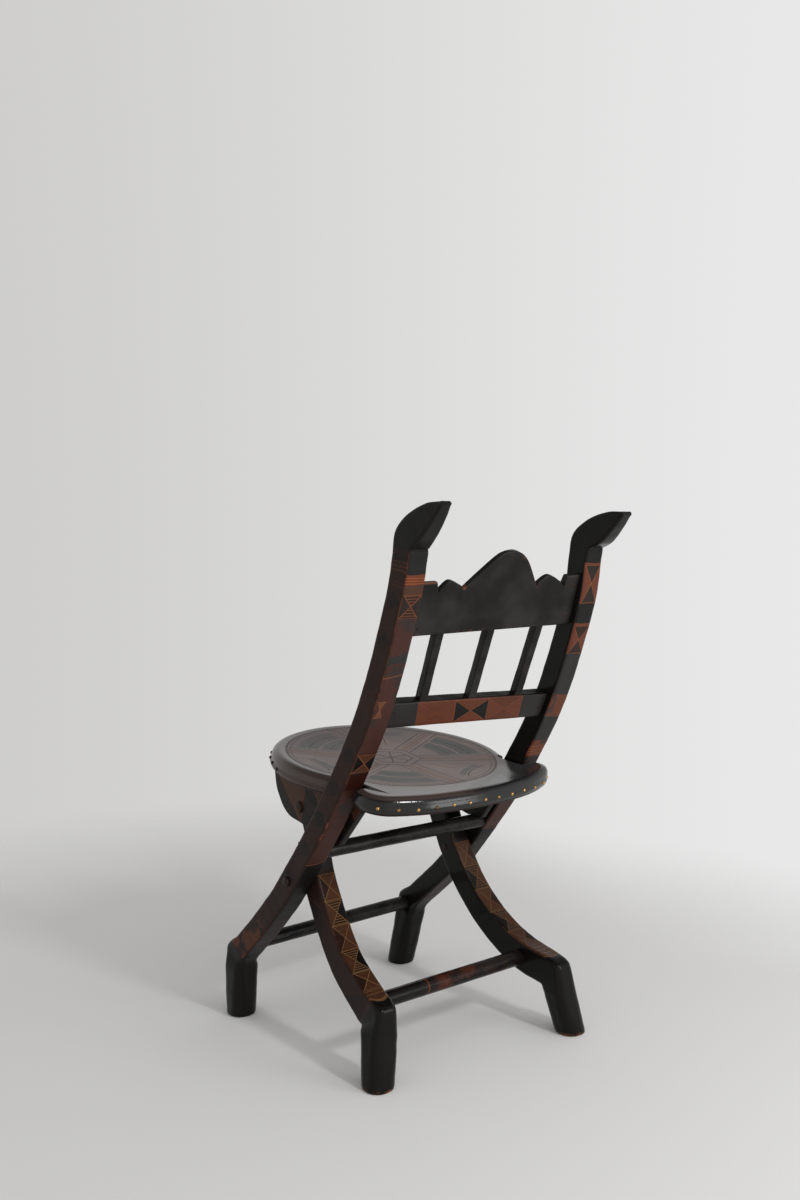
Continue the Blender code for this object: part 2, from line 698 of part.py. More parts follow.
# The lap cut in a short member's arm, in which the cheek turns
def lap_cutter(side):
    pivot = seat_pivot(0.0)
    lower = short_at(side, pivot.z - LAP_LENGTH)
    run = Vector((0.0, pivot.y - lower.y, pivot.z - lower.z)).normalized()
    inner = CHEEK_OUTER_X - CHEEK_THICK - GAP
    size = (LONG_WIDTH, LAP_ROOM, LAP_LENGTH + LAP_ROOM)
    centre = Vector((SIDES[side] * (inner + size[0] / 2), pivot.y, pivot.z)) + run * (size[2] / 2 - LAP_LENGTH)
    across = Vector((1.0, 0.0, 0.0))
    return add_cutter(box("lap_" + side, frame_of(centre, across, run.cross(across)), size))


def side_bolts(side, long_one, short_one, cheek_one):
    sign = SIDES[side]
    cross_inner = short_at(side, CROSS_HEIGHT).x - SHORT_WIDTH / 2
    seat_inner = short_at(side, seat_pivot_height()).x - SHORT_WIDTH / 2
    cross_face = long_face(CROSS_HEIGHT) + LONG_SPLAY * CROSS_HEAD_RADIUS
    made = {}
    for name, reach, height, face, inner, radius, head, pieces in (
            ("cross", 0.0, CROSS_HEIGHT, cross_face, cross_inner + WASHER_SINK,
             CROSS_BOLT_RADIUS, CROSS_HEAD_RADIUS, (long_one, short_one)),
            ("seat", SEAT_PIVOT_REACH, seat_pivot_height(), CHEEK_OUTER_X, seat_inner + WASHER_SINK,
             SEAT_BOLT_RADIUS, SEAT_HEAD_RADIUS, (cheek_one, short_one))):
        hole = cross_cutter(f"{name}_hole_{side}", reach, height, sign * (inner - CUT_REACH),
                            sign * (face + CUT_REACH), radius + BORE_CLEAR)
        spot = cross_cutter(f"{name}_spot_{side}", reach, height, sign * (inner - CUT_REACH),
                            sign * inner, WASHER_RADIUS + BORE_CLEAR)
        for piece in pieces:
            cut(piece, hole)
        cut(short_one, spot)
        made[name] = (bolt(f"{name}_bolt_{side}", side, reach, height, face, inner, radius, head),
                      washer(f"{name}_washer_{side}", side, reach, height, inner, radius))
    return made


def body_empty(name, place):
    made = bpy.data.objects.new(name, None)
    PARTS.objects.link(made)
    made.location = place
    made.empty_display_size = EMPTY_SIZE
    return made


def hang_on(body, pieces):
    for piece in pieces:
        piece.parent = body
        piece.matrix_parent_inverse = Matrix.Translation(-body.location)


def build_chair():
    longs = {side: long_member(side) for side in SIDES}
    shorts = {side: short_member(side) for side in SIDES}
    cheeks = {side: cheek(side) for side in SIDES}
    back = list(longs.values())
    legs = list(shorts.values())
    seat = list(cheeks.values()) + [seat_board(), seat_leather()]
    for side in SIDES:
        notch = notch_cutter(side)
        for layer in seat[2:]:
            cut(layer, notch)
        cut(shorts[side], lap_cutter(side))
        bolts = side_bolts(side, longs[side], shorts[side], cheeks[side])
        legs += bolts["cross"]
        seat += bolts["seat"]
    rail, rail_housing, rail_place = lower_rail()
    crest, crest_housing, crest_place = crest_rail()
    for post in longs.values():
        cut(post, rail_housing, crest_housing)
    back += [rail, crest]
    for name, shift in (("left", SPINDLE_SPACING), ("middle", 0.0), ("right", -SPINDLE_SPACING)):
        back.append(spindle("spindle_" + name, shift, rail_place, crest_place, (rail, crest)))
    back.append(round_rod("rest_rod", rest_rod_end, REST_ROD_RADIUS, longs.values()))
    back.append(round_rod("front_stretcher", front_rod_end, FRONT_ROD_RADIUS, longs.values()))
    legs.append(round_rod("rear_stretcher", rear_rod_end, REAR_ROD_RADIUS, shorts.values()))
    frame = body_empty("back_frame", Vector((0.0, 0.0, 0.0)))
    leg_frame = body_empty("leg_frame", pivot_point(0.0, CROSS_HEIGHT, 0.0))
    seat_body = body_empty("seat", seat_pivot(0.0))
    hang_on(frame, back + [leg_frame])
    hang_on(leg_frame, legs + [seat_body])
    hang_on(seat_body, seat)


build_chair()
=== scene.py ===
import math

import bpy
import numpy as np
from mathutils import Matrix, Vector


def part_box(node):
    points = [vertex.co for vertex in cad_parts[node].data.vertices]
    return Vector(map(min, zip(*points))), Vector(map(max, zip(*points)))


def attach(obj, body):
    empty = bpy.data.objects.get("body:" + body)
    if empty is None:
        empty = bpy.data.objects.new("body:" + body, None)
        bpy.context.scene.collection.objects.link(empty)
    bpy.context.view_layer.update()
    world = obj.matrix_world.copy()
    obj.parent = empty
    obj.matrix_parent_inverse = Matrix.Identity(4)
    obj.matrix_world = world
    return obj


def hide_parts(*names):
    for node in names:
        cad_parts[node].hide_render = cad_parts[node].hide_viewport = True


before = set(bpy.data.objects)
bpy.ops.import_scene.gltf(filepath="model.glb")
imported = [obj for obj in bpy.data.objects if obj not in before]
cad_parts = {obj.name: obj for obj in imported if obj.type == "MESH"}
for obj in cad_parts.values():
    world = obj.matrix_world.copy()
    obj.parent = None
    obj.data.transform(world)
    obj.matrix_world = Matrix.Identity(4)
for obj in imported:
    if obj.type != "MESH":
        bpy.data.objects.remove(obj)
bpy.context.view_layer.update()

view = {"place": (1.23598, 1.44391, 0.79995), "yaw": 0.689405, "pitch": 0.0541138, "lens": 36.0,
        "sensor": 36.0, "nearest": 0.05}
light = {"aim": (0.0, 0.0, 0.4), "key": 21.0, "keySize": 0.28, "keyPlace": (-0.1, 2.35, 2.05),
         "strip": 7.0, "stripSize": 0.8, "stripPlace": (1.75, 0.9, 0.25),
         "skyTint": (1.0, 0.99, 0.975), "skyLeft": 0.66, "skyRight": 1.15, "zenith": 0.48,
         "farSide": 0.8, "nearSide": 1.4, "ceiling": 0.30}
stage = {"reach": 1.9, "solid": 0.95, "fade": 0.48, "pale": (0.82, 0.82, 0.815), "mottle": 0.015,
         "dim": (0.61, 0.605, 0.595), "bright": (0.82, 0.82, 0.82), "rows": 24, "around": 96}

crossing = {"y": -0.0873, "height": 0.262, "rackDeg": 2.2}
sideSign = {"left": 1.0, "right": -1.0}
ringStep = 0.0025                               # distance between rings on the carved members
toolWaves = (0.21, 0.09, 0.043, 0.021)          # lengths of the waves a hand tool leaves


def unit(rows):
    rows = np.asarray(rows, float)
    return rows / np.linalg.norm(rows, axis=-1, keepdims=True)


# Distance along a line of points, from its first point
def runLength(points):
    return np.concatenate([[0.0], np.cumsum(np.linalg.norm(np.diff(points, axis=0), axis=1))])


# A closed outline resampled at even steps
def evenOutline(outline, count):
    run = runLength(outline)
    even = np.linspace(0, run[-1], count, endpoint=False)
    return np.stack([np.interp(even, run, outline[:, i]) for i in (0, 1)], 1)


# Smooth curve through knots (Catmull-Rom, ends carried on straight), so many points in each span
def curveThrough(knots, count):
    k = np.asarray(knots, float)
    k = np.vstack([2 * k[0] - k[1], k, 2 * k[-1] - k[-2]])
    a, b, c, d = k[:-3, None], k[1:-2, None], k[2:-1, None], k[3:, None]
    t = np.linspace(0, 1, count, endpoint=False)[None, :, None]
    spans = b + 0.5 * t * ((c - a) + t * ((2 * a - 5 * b + 4 * c - d) + t * (3 * b - a - 3 * c + d)))
    return np.vstack([spans.reshape(-1, k.shape[1]), k[-2]])


# Cubic through key rows at rising stations; slopes are weighted harmonic means, so nothing overshoots
def steadyCubic(stations, rows, wanted):
    h = np.diff(stations)[:, None]
    flat = rows.reshape(len(rows), -1)
    run = np.diff(flat, axis=0) / h
    slope = np.zeros_like(flat)
    low, high = 2 * h[1:] + h[:-1], h[1:] + 2 * h[:-1]
    with np.errstate(divide="ignore", invalid="ignore"):
        mean = (low + high) / (low / run[:-1] + high / run[1:])
    slope[1:-1] = np.where(run[:-1] * run[1:] > 0, mean, 0.0)
    slope[0], slope[-1] = run[0], run[-1]
    span = np.clip(np.searchsorted(stations, wanted, side="right") - 1, 0, len(h) - 1)
    wide = h[span]
    t = (wanted - stations[span])[:, None] / wide
    start, stop = flat[span], flat[span + 1]
    found = (start * (1 + 2 * t) * (1 - t) ** 2 + stop * t ** 2 * (3 - 2 * t)
             + wide * (slope[span] * t * (1 - t) ** 2 - slope[span + 1] * t ** 2 * (1 - t)))
    return found.reshape((len(wanted),) + rows.shape[1:])


# One turn of a rounded rectangle as shares: corner signs, cosine, sine, the flats filled in evenly
def ringShares(corner=6, flat=8):
    turns = []
    for turn, signs in enumerate(((1, 1), (-1, 1), (-1, -1), (1, -1))):
        angle = np.pi / 2 * (turn + np.linspace(0, 1, corner))
        turns.append(np.column_stack([np.tile(signs, (corner, 1)), np.cos(angle), np.sin(angle)]))
    rows = []
    for here in range(4):
        start, stop = turns[here][-1], turns[(here + 1) % 4][0]
        rows += [turns[here], start + (stop - start) * np.linspace(0, 1, flat + 2)[1:-1, None]]
    return np.vstack(rows)


# Rounded rectangles on a path: centre + across * u + deep * v, then u and v as shares of the half sizes
def carryRings(centre, across, deep, width, depth, edge, shares):
    width, depth, edge = (np.broadcast_to(np.asarray(x, float), len(centre))[:, None]
                          for x in (width, depth, edge))
    edge = np.minimum(edge, 0.499 * np.minimum(width, depth))
    u = shares[:, 0] * (width / 2 - edge) + edge * shares[:, 2]
    v = shares[:, 1] * (depth / 2 - edge) + edge * shares[:, 3]
    across, deep = (np.broadcast_to(x, centre.shape)[:, None] for x in (across, deep))
    points = centre[:, None] + across * u[..., None] + deep * v[..., None]
    return np.concatenate([points, (2 * u / width)[..., None], (2 * v / depth)[..., None]], 2)


# Key rings resampled at even steps along the line of their middles; also gives the distance along
def evenRings(rings, keep=(), rows=()):
    stations = runLength(rings[..., :3].mean(1))
    wanted = np.linspace(0, stations[-1], int(stations[-1] / ringStep) + 1)
    kept = stations[:7], stations[-7:], stations[list(rows)], keep    # both ends and what is asked for
    wanted = np.unique(np.concatenate([wanted, *kept]))
    return steadyCubic(stations, rings, wanted), wanted


# Tool marks: each point moves out from its ring's middle by a sum of slow and quick waves
def handCarved(rings, along, size, seed):
    draw = np.random.default_rng(seed)
    turn = np.linspace(0, 2 * np.pi, rings.shape[1], endpoint=False)
    wave = np.zeros(rings.shape[:2])
    for length in toolWaves:
        k, phase, spin = 2 * np.pi / length, draw.uniform(0, 6.28), draw.integers(1, 4)
        wave += np.sin(k * along[:, None] + spin * turn + phase) * length ** 0.5
    out = unit(rings[..., :3] - rings[..., :3].mean(1, keepdims=True))
    rings = rings.copy()
    rings[..., :3] += out * (size * wave / np.abs(wave).max())[..., None]
    return rings


# Quads between neighbouring rows of a grid that closes sideways, and the grid's next column
def quadsOver(grid):
    after = np.roll(grid, -1, 1)
    return np.stack([grid[:-1], after[:-1], after[1:], grid[1:]], -1).reshape(-1, 4), after


# Six times the signed volume between the faces and the origin, each face as a fan of triangles
def signedVolume(points, faces):
    a = points[faces[:, 0]]
    pairs = zip(faces.T[1:], faces.T[2:])
    return sum(np.einsum("ij,ij->", a, np.cross(points[b], points[c])) for b, c in pairs)


# Mesh over a grid of rings, closed at both ends by a middle point or, when flat, by one face; the
# signed volume says which way the faces turn
def skinOver(name, rings, along, look, flat=False):
    rows, count = rings.shape[:2]
    total = rows * count
    points = np.vstack([rings[..., :3].reshape(-1, 3), rings[[0, -1], :, :3].mean(1)])
    grid = np.arange(total).reshape(rows, count)
    quads, after = quadsOver(grid)
    ends = np.vstack([np.stack([after[0], grid[0], np.full(count, total)], 1),
                      np.stack([grid[-1], after[-1], np.full(count, total + 1)], 1)])
    inward = signedVolume(points, quads) + signedVolume(points, ends) < 0
    if flat:
        ends, points = np.stack([grid[0, ::-1], grid[-1]]), points[:-2]
    if inward:
        quads, ends = quads[:, ::-1], ends[:, ::-1]
    mesh = bpy.data.meshes.new(name)
    mesh.from_pydata(points.tolist(), [], quads.tolist() + ends.tolist())
    place = np.zeros((len(points), 3))          # along, across and through, for the looks
    place[[-2, -1], 0] = along[[0, -1]]
    place[:total, 0] = np.repeat(along, count)
    if rings.shape[2] > 3:
        place[:total, 1:] = rings[..., 3:].reshape(-1, 2)
    mesh.attributes.new("place", "FLOAT_VECTOR", "POINT").data.foreach_set("vector", place.ravel())
    return addPiece(name, mesh, look)


def addPiece(name, mesh, look, sharpDeg=42):
    mesh.shade_smooth()
    mesh.set_sharp_from_angle(angle=math.radians(sharpDeg))
    mesh.materials.append(look)
    made = bpy.data.objects.new(name, mesh)
    bpy.context.scene.collection.objects.link(made)
    return made


def fit(piece, body, slot, *nodes):
    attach(piece, body)
    if nodes:
        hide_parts(*nodes)
    return piece


# Camera and light
def aimed(place, direction):
    return Matrix.Translation(place) @ direction.to_track_quat("-Z", "Y").to_matrix().to_4x4()


def setCamera():
    yaw, pitch = view["yaw"], view["pitch"]
    level = math.cos(pitch)
    forward = Vector((-math.sin(yaw) * level, -math.cos(yaw) * level, -math.sin(pitch)))
    data = bpy.data.cameras.new("photo_view")
    data.lens, data.sensor_fit, data.sensor_height = view["lens"], "VERTICAL", view["sensor"]
    data.clip_start = view["nearest"]
    camera = bpy.data.objects.new("photo_view", data)
    camera.matrix_world = aimed(view["place"], forward)
    bpy.context.scene.collection.objects.link(camera)
    bpy.context.scene.camera = camera
    bpy.context.scene.view_settings.view_transform = "Standard"
    return forward


def areaLamp(name, place, power, size):
    data = bpy.data.lights.new(name, "AREA")
    data.energy, data.size = power, size
    lamp = bpy.data.objects.new(name, data)
    lamp.matrix_world = aimed(place, Vector(light["aim"]) - Vector(place))
    bpy.context.scene.collection.objects.link(lamp)


forward = setCamera()
toCamera = Vector((-forward.x, -forward.y, 0)).normalized()
toRight = Vector((-toCamera.y, toCamera.x, 0))
areaLamp("key", light["keyPlace"], light["key"], light["keySize"])
aside, nearer, higher = light["stripPlace"]
stripPlace = Vector(light["aim"]) + toRight * aside + toCamera * nearer + Vector((0, 0, higher))
areaLamp("strip", stripPlace, light["strip"], light["stripSize"])
print("camera and lamps set")


# One value in a node tree: arithmetic on it adds the nodes that work it out
class Wire:
    def __init__(self, wires, socket):
        self.wires, self.socket = wires, socket

    def __add__(self, other):
        return self.wires.calc("ADD", self, other)

    def __radd__(self, other):
        return self.wires.calc("ADD", other, self)

    def __sub__(self, other):
        return self.wires.calc("SUBTRACT", self, other)

    def __rsub__(self, other):
        return self.wires.calc("SUBTRACT", other, self)

    def __mul__(self, other):
        return self.wires.calc("MULTIPLY", self, other)

    def __truediv__(self, other):
        return self.wires.calc("DIVIDE", self, other)

    def __abs__(self):
        return self.wires.calc("ABSOLUTE", self)

    def ease(self, low, high, lowOut=0.0, highOut=1.0):         # a smooth step from low to high
        node = self.wires.put("MapRange", {"interpolation_type": "SMOOTHSTEP"})
        self.wires.fill(node, range(5), (self, low, high, lowOut, highOut))
        return self.wires.out(node)

    def band(self, low, high, soft):                            # 1 between low and high
        return self.ease(low - soft, low + soft) * self.ease(high + soft, high - soft)

    def line(self, at, outer, inner):                           # 1 close to one value
        return abs(self - at).ease(outer, inner)

    def wave(self, length):                                     # up and down between 0 and 1
        return self.wires.calc("PINGPONG", self / (length / 2), 1.0)

    def split(self):
        node = self.wires.put("SeparateXYZ", Vector=self)
        return [self.wires.out(node, name) for name in "XYZ"]

    def stretch(self, scale, shift=(0, 0, 0)):
        return self.wires.out(self.wires.put("Mapping", Vector=self, Scale=scale, Location=shift))

    def noise(self, scale, detail=3.0, rough=0.55):
        node = self.wires.put("TexNoise", Vector=self, Scale=scale, Detail=detail, Roughness=rough)
        return self.wires.out(node)


# Short hand for a node tree: puts nodes in and feeds them
class Wires:
    def __init__(self, owner):
        owner.use_nodes = True
        owner.node_tree.nodes.clear()
        self.tree = owner.node_tree

    def put(self, kind, fields=(), **inputs):
        node = self.tree.nodes.new("ShaderNode" + kind)
        for key, value in dict(fields).items():
            setattr(node, key, value)
        self.give(node, **inputs)
        return node

    def give(self, node, **inputs):
        for key, value in inputs.items():
            self.feed(node.inputs[key.replace("_", " ")], value)

    def fill(self, node, places, values):
        for place, value in zip(places, values):
            self.feed(node.inputs[place], value)

    def feed(self, socket, value):
        if isinstance(value, Wire):
            self.tree.links.new(value.socket, socket)
        elif socket.type == "RGBA" and len(value) == 3:
            socket.default_value = (*value, 1.0)
        else:
            socket.default_value = value

    def out(self, node, name=0):
        return Wire(self, node.outputs[name])

    def calc(self, work, *values):
        node = self.put("Math", {"operation": work})
        self.fill(node, range(3), values)
        return self.out(node)

    def most(self, *values):
        total = values[0]
        for value in values[1:]:
            total = self.calc("MAXIMUM", total, value)
        return total

    def mix(self, share, first, second):                        # of two colours
        node = self.put("Mix", {"data_type": "RGBA"})
        self.fill(node, (0, 6, 7), (share, first, second))
        return self.out(node, 2)

    def blend(self, share, first, second):                      # of two numbers
        node = self.put("Mix", {"data_type": "FLOAT"})
        self.fill(node, (0, 2, 3), (share, first, second))
        return self.out(node)

    def dot(self, vector, direction):
        node = self.put("VectorMath", {"operation": "DOT_PRODUCT"})
        self.fill(node, (0, 1), (vector, tuple(direction)))
        return self.out(node, "Value")

    def toned(self, colour, tone):
        node = self.put("VectorMath", {"operation": "SCALE"}, Scale=tone)
        self.feed(node.inputs[0], colour)
        return self.out(node)

    def coords(self):
        return self.out(self.put("TexCoord"), "Object")

    def place(self):
        return self.out(self.put("Attribute", {"attribute_name": "place"}), "Vector")

    def bump(self, height, distance, strength, under=None):
        node = self.put("Bump", Height=height, Distance=distance, Strength=strength)
        if under is not None:
            self.feed(node.inputs["Normal"], under)
        return self.out(node)


def newLook(name, **plain):
    look = bpy.data.materials.new(name)
    wires = Wires(look)
    shader = wires.put("BsdfPrincipled", **plain)
    wires.put("OutputMaterial", Surface=wires.out(shader))
    return look, wires, shader


# The surround: light from all sides, and a pale backdrop for what is seen or mirrored
def setSurround():
    world = bpy.data.worlds.new("surround")
    bpy.context.scene.world = world
    wires = Wires(world)
    path = wires.put("LightPath")
    rays = (wires.out(path, "Is " + kind + " Ray") for kind in ("Camera", "Glossy", "Transmission"))
    looking = wires.out(wires.put("TexCoord"), "Generated")
    across, near, up = wires.dot(looking, toRight), wires.dot(looking, toCamera), looking.split()[2]
    strength = (across.ease(-0.8, 0.8, light["skyLeft"], light["skyRight"])
                * up.ease(0.05, 0.75, 1.0, light["zenith"])
                * near.ease(-0.5, 0.6, light["farSide"], light["nearSide"]))
    sky = wires.put("Background", Color=light["skyTint"], Strength=strength)
    # Painted shade and light on the backdrop: darker to the left, where the chair's shade falls, brighter
    # to the right, where the light comes from, and dimmer towards the top
    tone = wires.mix(across.ease(-0.42, 0.42), stage["dim"], stage["bright"])
    back = wires.put("Background", Color=tone, Strength=up.ease(0.42, 0.75, 1.0, light["ceiling"]))
    both = wires.put("MixShader")
    wires.fill(both, range(3), (wires.most(*rays), wires.out(sky), wires.out(back)))
    wires.put("OutputWorld", Surface=wires.out(both))


# Stage: a round floor of rings that fades into the surround
def setStage():
    look, wires, shader = newLook("pale_floor", Roughness=0.85, Specular_IOR_Level=0.2)
    coords = wires.coords()
    x, y = coords.split()[:2]
    far = wires.calc("SQRT", x * x + y * y)
    aside = x * toRight.x + y * toRight.y
    behind = (x * toCamera.x + y * toCamera.y).ease(0.1, -0.4)
    far = far + aside.ease(-0.2, 0.5) * behind * stage["fade"]      # sooner out on the bright side
    low, high = (tuple(np.array(stage["pale"]) * (1 + sign * stage["mottle"])) for sign in (-1, 1))
    wires.give(shader, Base_Color=wires.mix(coords.noise(1.3), low, high),
               Alpha=far.ease(stage["reach"], stage["solid"]),
               Normal=wires.bump(coords.noise(60.0), 0.0006, 0.25))
    rows, around = stage["rows"], stage["around"]
    turn = np.linspace(0, 2 * np.pi, around, endpoint=False)
    radius = np.linspace(0.05, stage["reach"], rows)[:, None]
    points = np.stack([radius * np.cos(turn), radius * np.sin(turn), np.zeros((rows, around))], -1)
    grid = np.arange(rows * around).reshape(rows, around)
    faces = quadsOver(grid)[0][:, [0, 3, 2, 1]].tolist() + [grid[0].tolist()]
    mesh = bpy.data.meshes.new("pale_floor")
    mesh.from_pydata(points.reshape(-1, 3).tolist(), [], faces)
    addPiece("pale_floor", mesh, look)


setSurround()
setStage()
print("stage set")


# Wood finishes: colours, and how much each grain direction is drawn out
paint = {"black": (0.0056, 0.0050, 0.0046), "warm": (0.017, 0.0098, 0.0074),
         "outer": (0.020, 0.0085, 0.0056), "purple": (0.042, 0.0145, 0.011),
         "grey": (0.018, 0.0165, 0.016), "red": (0.022, 0.0048, 0.003), "orange": (0.105, 0.023, 0.007),
         "brick": (0.094, 0.026, 0.012), "umber": (0.050, 0.020, 0.010), "rose": (0.062, 0.014, 0.007),
         "cut": (0.31, 0.095, 0.032), "straw": (0.23, 0.115, 0.038), "pink": (0.34, 0.16, 0.11),
         "bare": (0.19, 0.062, 0.023), "gold": (0.33, 0.16, 0.045)}
grain = {"across": (0.06, 1.0, 1.0), "upright": (1.0, 0.3, 0.08), "board": (1.0, 0.07, 1.0),
         "cheek": (1.0, 0.08, 1.0)}
woodSpecular = 0.15


# A new wood finish, with its coordinates and the place along, across and through the member
def woodLook(name):
    look, wires, shader = newLook(name, Specular_IOR_Level=woodSpecular)
    return look, wires, shader, wires.coords(), wires.place().split()


# Lacquered wood under a given colour: streaks with the grain, cloudy gloss, cut lines pressed in
def woodSkin(wires, shader, colour, direction, groove, rubbed, rough, dry=0.0):
    coords = wires.coords()
    lengthwise = coords.stretch(grain[direction])
    streak = lengthwise.noise(60.0, 5.0, 0.62)
    cloud = coords.noise(11.0, 4.0)
    fleck = coords.noise(170.0, 2.0)
    scuff = lengthwise.noise(26.0, 6.0, 0.7).ease(0.64, 0.74)
    tone = 0.50 + streak * 0.46 + cloud * 0.50
    worn = wires.mix(scuff * 0.06, wires.toned(colour, tone), paint["pink"])
    gloss = (rough - 0.13 + cloud * 0.22 + fleck * 0.06 + rubbed * 0.18 + groove * 0.25
             + scuff * 0.12 + dry)
    fine = wires.bump(streak * 0.30 + fleck * 0.16 + cloud * 0.8, 0.0005, 0.40)
    wires.give(shader, Base_Color=worn, Roughness=gloss,
               Normal=wires.bump(1 - groove, 0.0007, 0.9, fine))


# Where two faces meet, broken up by noise, so the lacquer there is rubbed through to bare wood
def rubbedEdges(coords, wide, deep, low=0.56, high=0.70):
    corner = abs(wide).ease(0.86, 0.985) * abs(deep).ease(0.86, 0.985)
    patch = coords.noise(14.0, 3.0) * 0.6 + coords.noise(90.0, 3.0) * 0.4
    return corner * patch.ease(low, high)


# Plain lacquer, cloudy between two colours; wear gives a reddened middle and a nick beside it
def lacquerLook(name, direction, rough=0.25, dark="black", pale="warm", wear=None):
    look, wires, shader, coords, place = woodLook(name)
    rubbed = rubbedEdges(coords, *place[1:])
    cloud = coords.noise(21.0, 4.0, 0.6)
    base = wires.mix(cloud.ease(0.36, 0.68), paint[dark], paint[pale])
    if wear:
        x = coords.split()[0] + cloud * 0.03 - 0.015
        middle = x.band(-wear["half"], wear["half"], wear["soft"]) * cloud.ease(0.40, 0.60)
        base = wires.mix(middle * 0.85, base, paint["rose"])
        base = wires.mix(x.line(wear["nick"], 0.0022, 0.0012) * 0.8, base, paint["orange"])
    colour = wires.mix(rubbed * 0.6, base, paint["bare"])
    woodSkin(wires, shader, colour, direction, 0.0, rubbed, rough)
    return look


# Paint bands along a member: constant steps of colour over a distance, their edges a little unsteady
def paintBands(wires, along, stops, reach):
    ramp = wires.put("ValToRGB", Fac=along / reach)
    ramp.color_ramp.interpolation = "CONSTANT"
    cells = ramp.color_ramp.elements
    while len(cells) < len(stops):
        cells.new(0.5)
    for cell, (position, colour) in zip(cells, stops):
        cell.position = position / reach
        cell.color = (*paint[colour], 1.0)
    return wires.out(ramp)


# A crossed cell between two places along: the cell, its cut diagonals and end lines, its side triangles
def crossedCell(wires, along, wide, low, high, line=0.0008):
    half = (high - low) / 2
    t = (along - (low + high) / 2) / half
    steep = abs(t) - abs(wide) * 1.12
    inside = along.band(low, high, 0.0004)
    diagonal = abs(steep).ease(line * 1.9 / half, line * 0.7 / half)
    ends = abs(t).ease(1 - line * 1.5 / half, 1 - line * 0.6 / half)
    return inside, inside * wires.most(diagonal, ends), steep.ease(0.02, -0.02)


# Fine parallel cuts across a member
def hatching(value, spacing):
    return value.wave(spacing).ease(0.42, 0.16)


# A zigzag over a face: which side of it a point is on, and the cut line itself
def zigzag(along, across, length, line=0.07):
    gap = along.wave(length) - (0.5 + across * 0.56)
    return gap.ease(-0.02, 0.02), abs(gap).ease(line, line * 0.3)


blackAcross = lacquerLook("black_lacquer_across", "across", pale="grey")
blackUpright = lacquerLook("black_lacquer_upright", "upright", pale="grey")
print("finishes made")


# Long members: front foot, knee, leg, back post and horn
longMember = {"width": 0.0375, "depth": 0.0375, "face": 0.2018, "splay": 0.0467, "edge": 0.004,
              "knee": (-0.1565, 0.110), "kneeDepth": 0.050, "kneeGap": 4,
              "line": ((-0.057, 0.200), (0.0, 0.262), (0.106, 0.400), (0.195, 0.550), (0.252, 0.700)),
              "top": (0.267, 0.772), "raise": {"left": -0.010, "right": 0.006},
              "hornFront": ((0.248, 0.772), (0.255, 0.806), (0.282, 0.828), (0.320, 0.841),
                            (0.352, 0.8425)),
              "neck": (0.2868, 0.7735), "neckRun": (0.23, 1.0), "ledge": (0.0036, 0.0010),
              "neckRise": {"left": 0.006, "right": 0.0125},
              "hornUnder": ((0.312, 0.795), (0.334, 0.815), (0.354, 0.837)),
              "tipWidth": 0.020, "tipSway": 0.008, "taper": 1.5}
foot = {"width": 0.0445, "top": 0.0455, "edge": 0.019, "kneeEdge": 0.010, "bevel": 0.003,
        "shoulder": 0.6, "crown": 0.8, "bulge": 0.0010, "frontReach": -0.171,
        "frontX": {"left": 0.1865, "right": 0.1765}, "rearX": 0.182}
carved = {"members": 0.0005, "rail": 0.0003, "spindles": 0.0004, "rods": 0.0002}  # depth of tool marks


# Turned about the crossing by the side's lean: reach and height to y and z
def leaned(side, rows):
    rows = np.asarray(rows, float)
    angle = sideSign[side] * math.radians(crossing["rackDeg"])
    reach, up = rows[..., 0], rows[..., 1] - crossing["height"]
    return np.stack([crossing["y"] + reach * math.cos(angle) - up * math.sin(angle),
                     crossing["height"] + reach * math.sin(angle) + up * math.cos(angle)], -1)


# Distance of a long member's middle from the chair's middle, at a height
def longMiddle(height):
    lean = longMember["splay"] * (height - crossing["height"])
    return longMember["face"] - lean - longMember["width"] / 2


def longLine(side, count):
    reach, height = longMember["top"]
    knots = (longMember["knee"],) + longMember["line"] + ((reach, height + longMember["raise"][side]),)
    return leaned(side, curveThrough(knots, count))


# Place on a long member's middle line at a height, and the direction upwards there
def longAt(side, height):
    line = longLine(side, 24)
    near = 0.004
    below, y, above = np.interp((height - near, height, height + near), line[:, 1], line[:, 0])
    up = unit([0.0, above - below, 2 * near])
    return np.array([sideSign[side] * longMiddle(height), y, height]), up


# Square to a line of (y, z) points, to the rear and under it
def squareTo(line):
    run = np.gradient(line, axis=0)
    return unit(np.stack([np.zeros(len(line)), run[:, 1], -run[:, 0]], 1))


# Foot rings from the floor up: a quarter round at the floor, straight to the shoulder, a slight swell
def footRings(sign, x, floorY, top, shares, crown):
    turn = np.linspace(0, np.pi / 2, 5)
    straight = np.linspace(0.15, foot["shoulder"], 6) * top[2]
    rise = np.concatenate([foot["bevel"] * (1 - np.cos(turn)), straight, [crown * top[2]]])
    inset = np.concatenate([foot["bevel"] * (1 - np.sin(turn)), np.zeros(len(straight) + 1)])
    share = rise / top[2]
    y = floorY + (top[1] - floorY) * share
    centre = np.stack([sign * (x + (top[0] - x) * share), y, rise], 1)
    size = foot["width"] + (foot["top"] - foot["width"]) * share - 2 * inset
    size = size + foot["bulge"] * np.sin(np.pi * np.clip(share / foot["shoulder"], 0, 1))
    edge = foot["edge"] + (foot["kneeEdge"] - foot["edge"]) * share
    return carryRings(centre, (sign, 0, 0), (0, 1, 0), size, size, edge, shares)


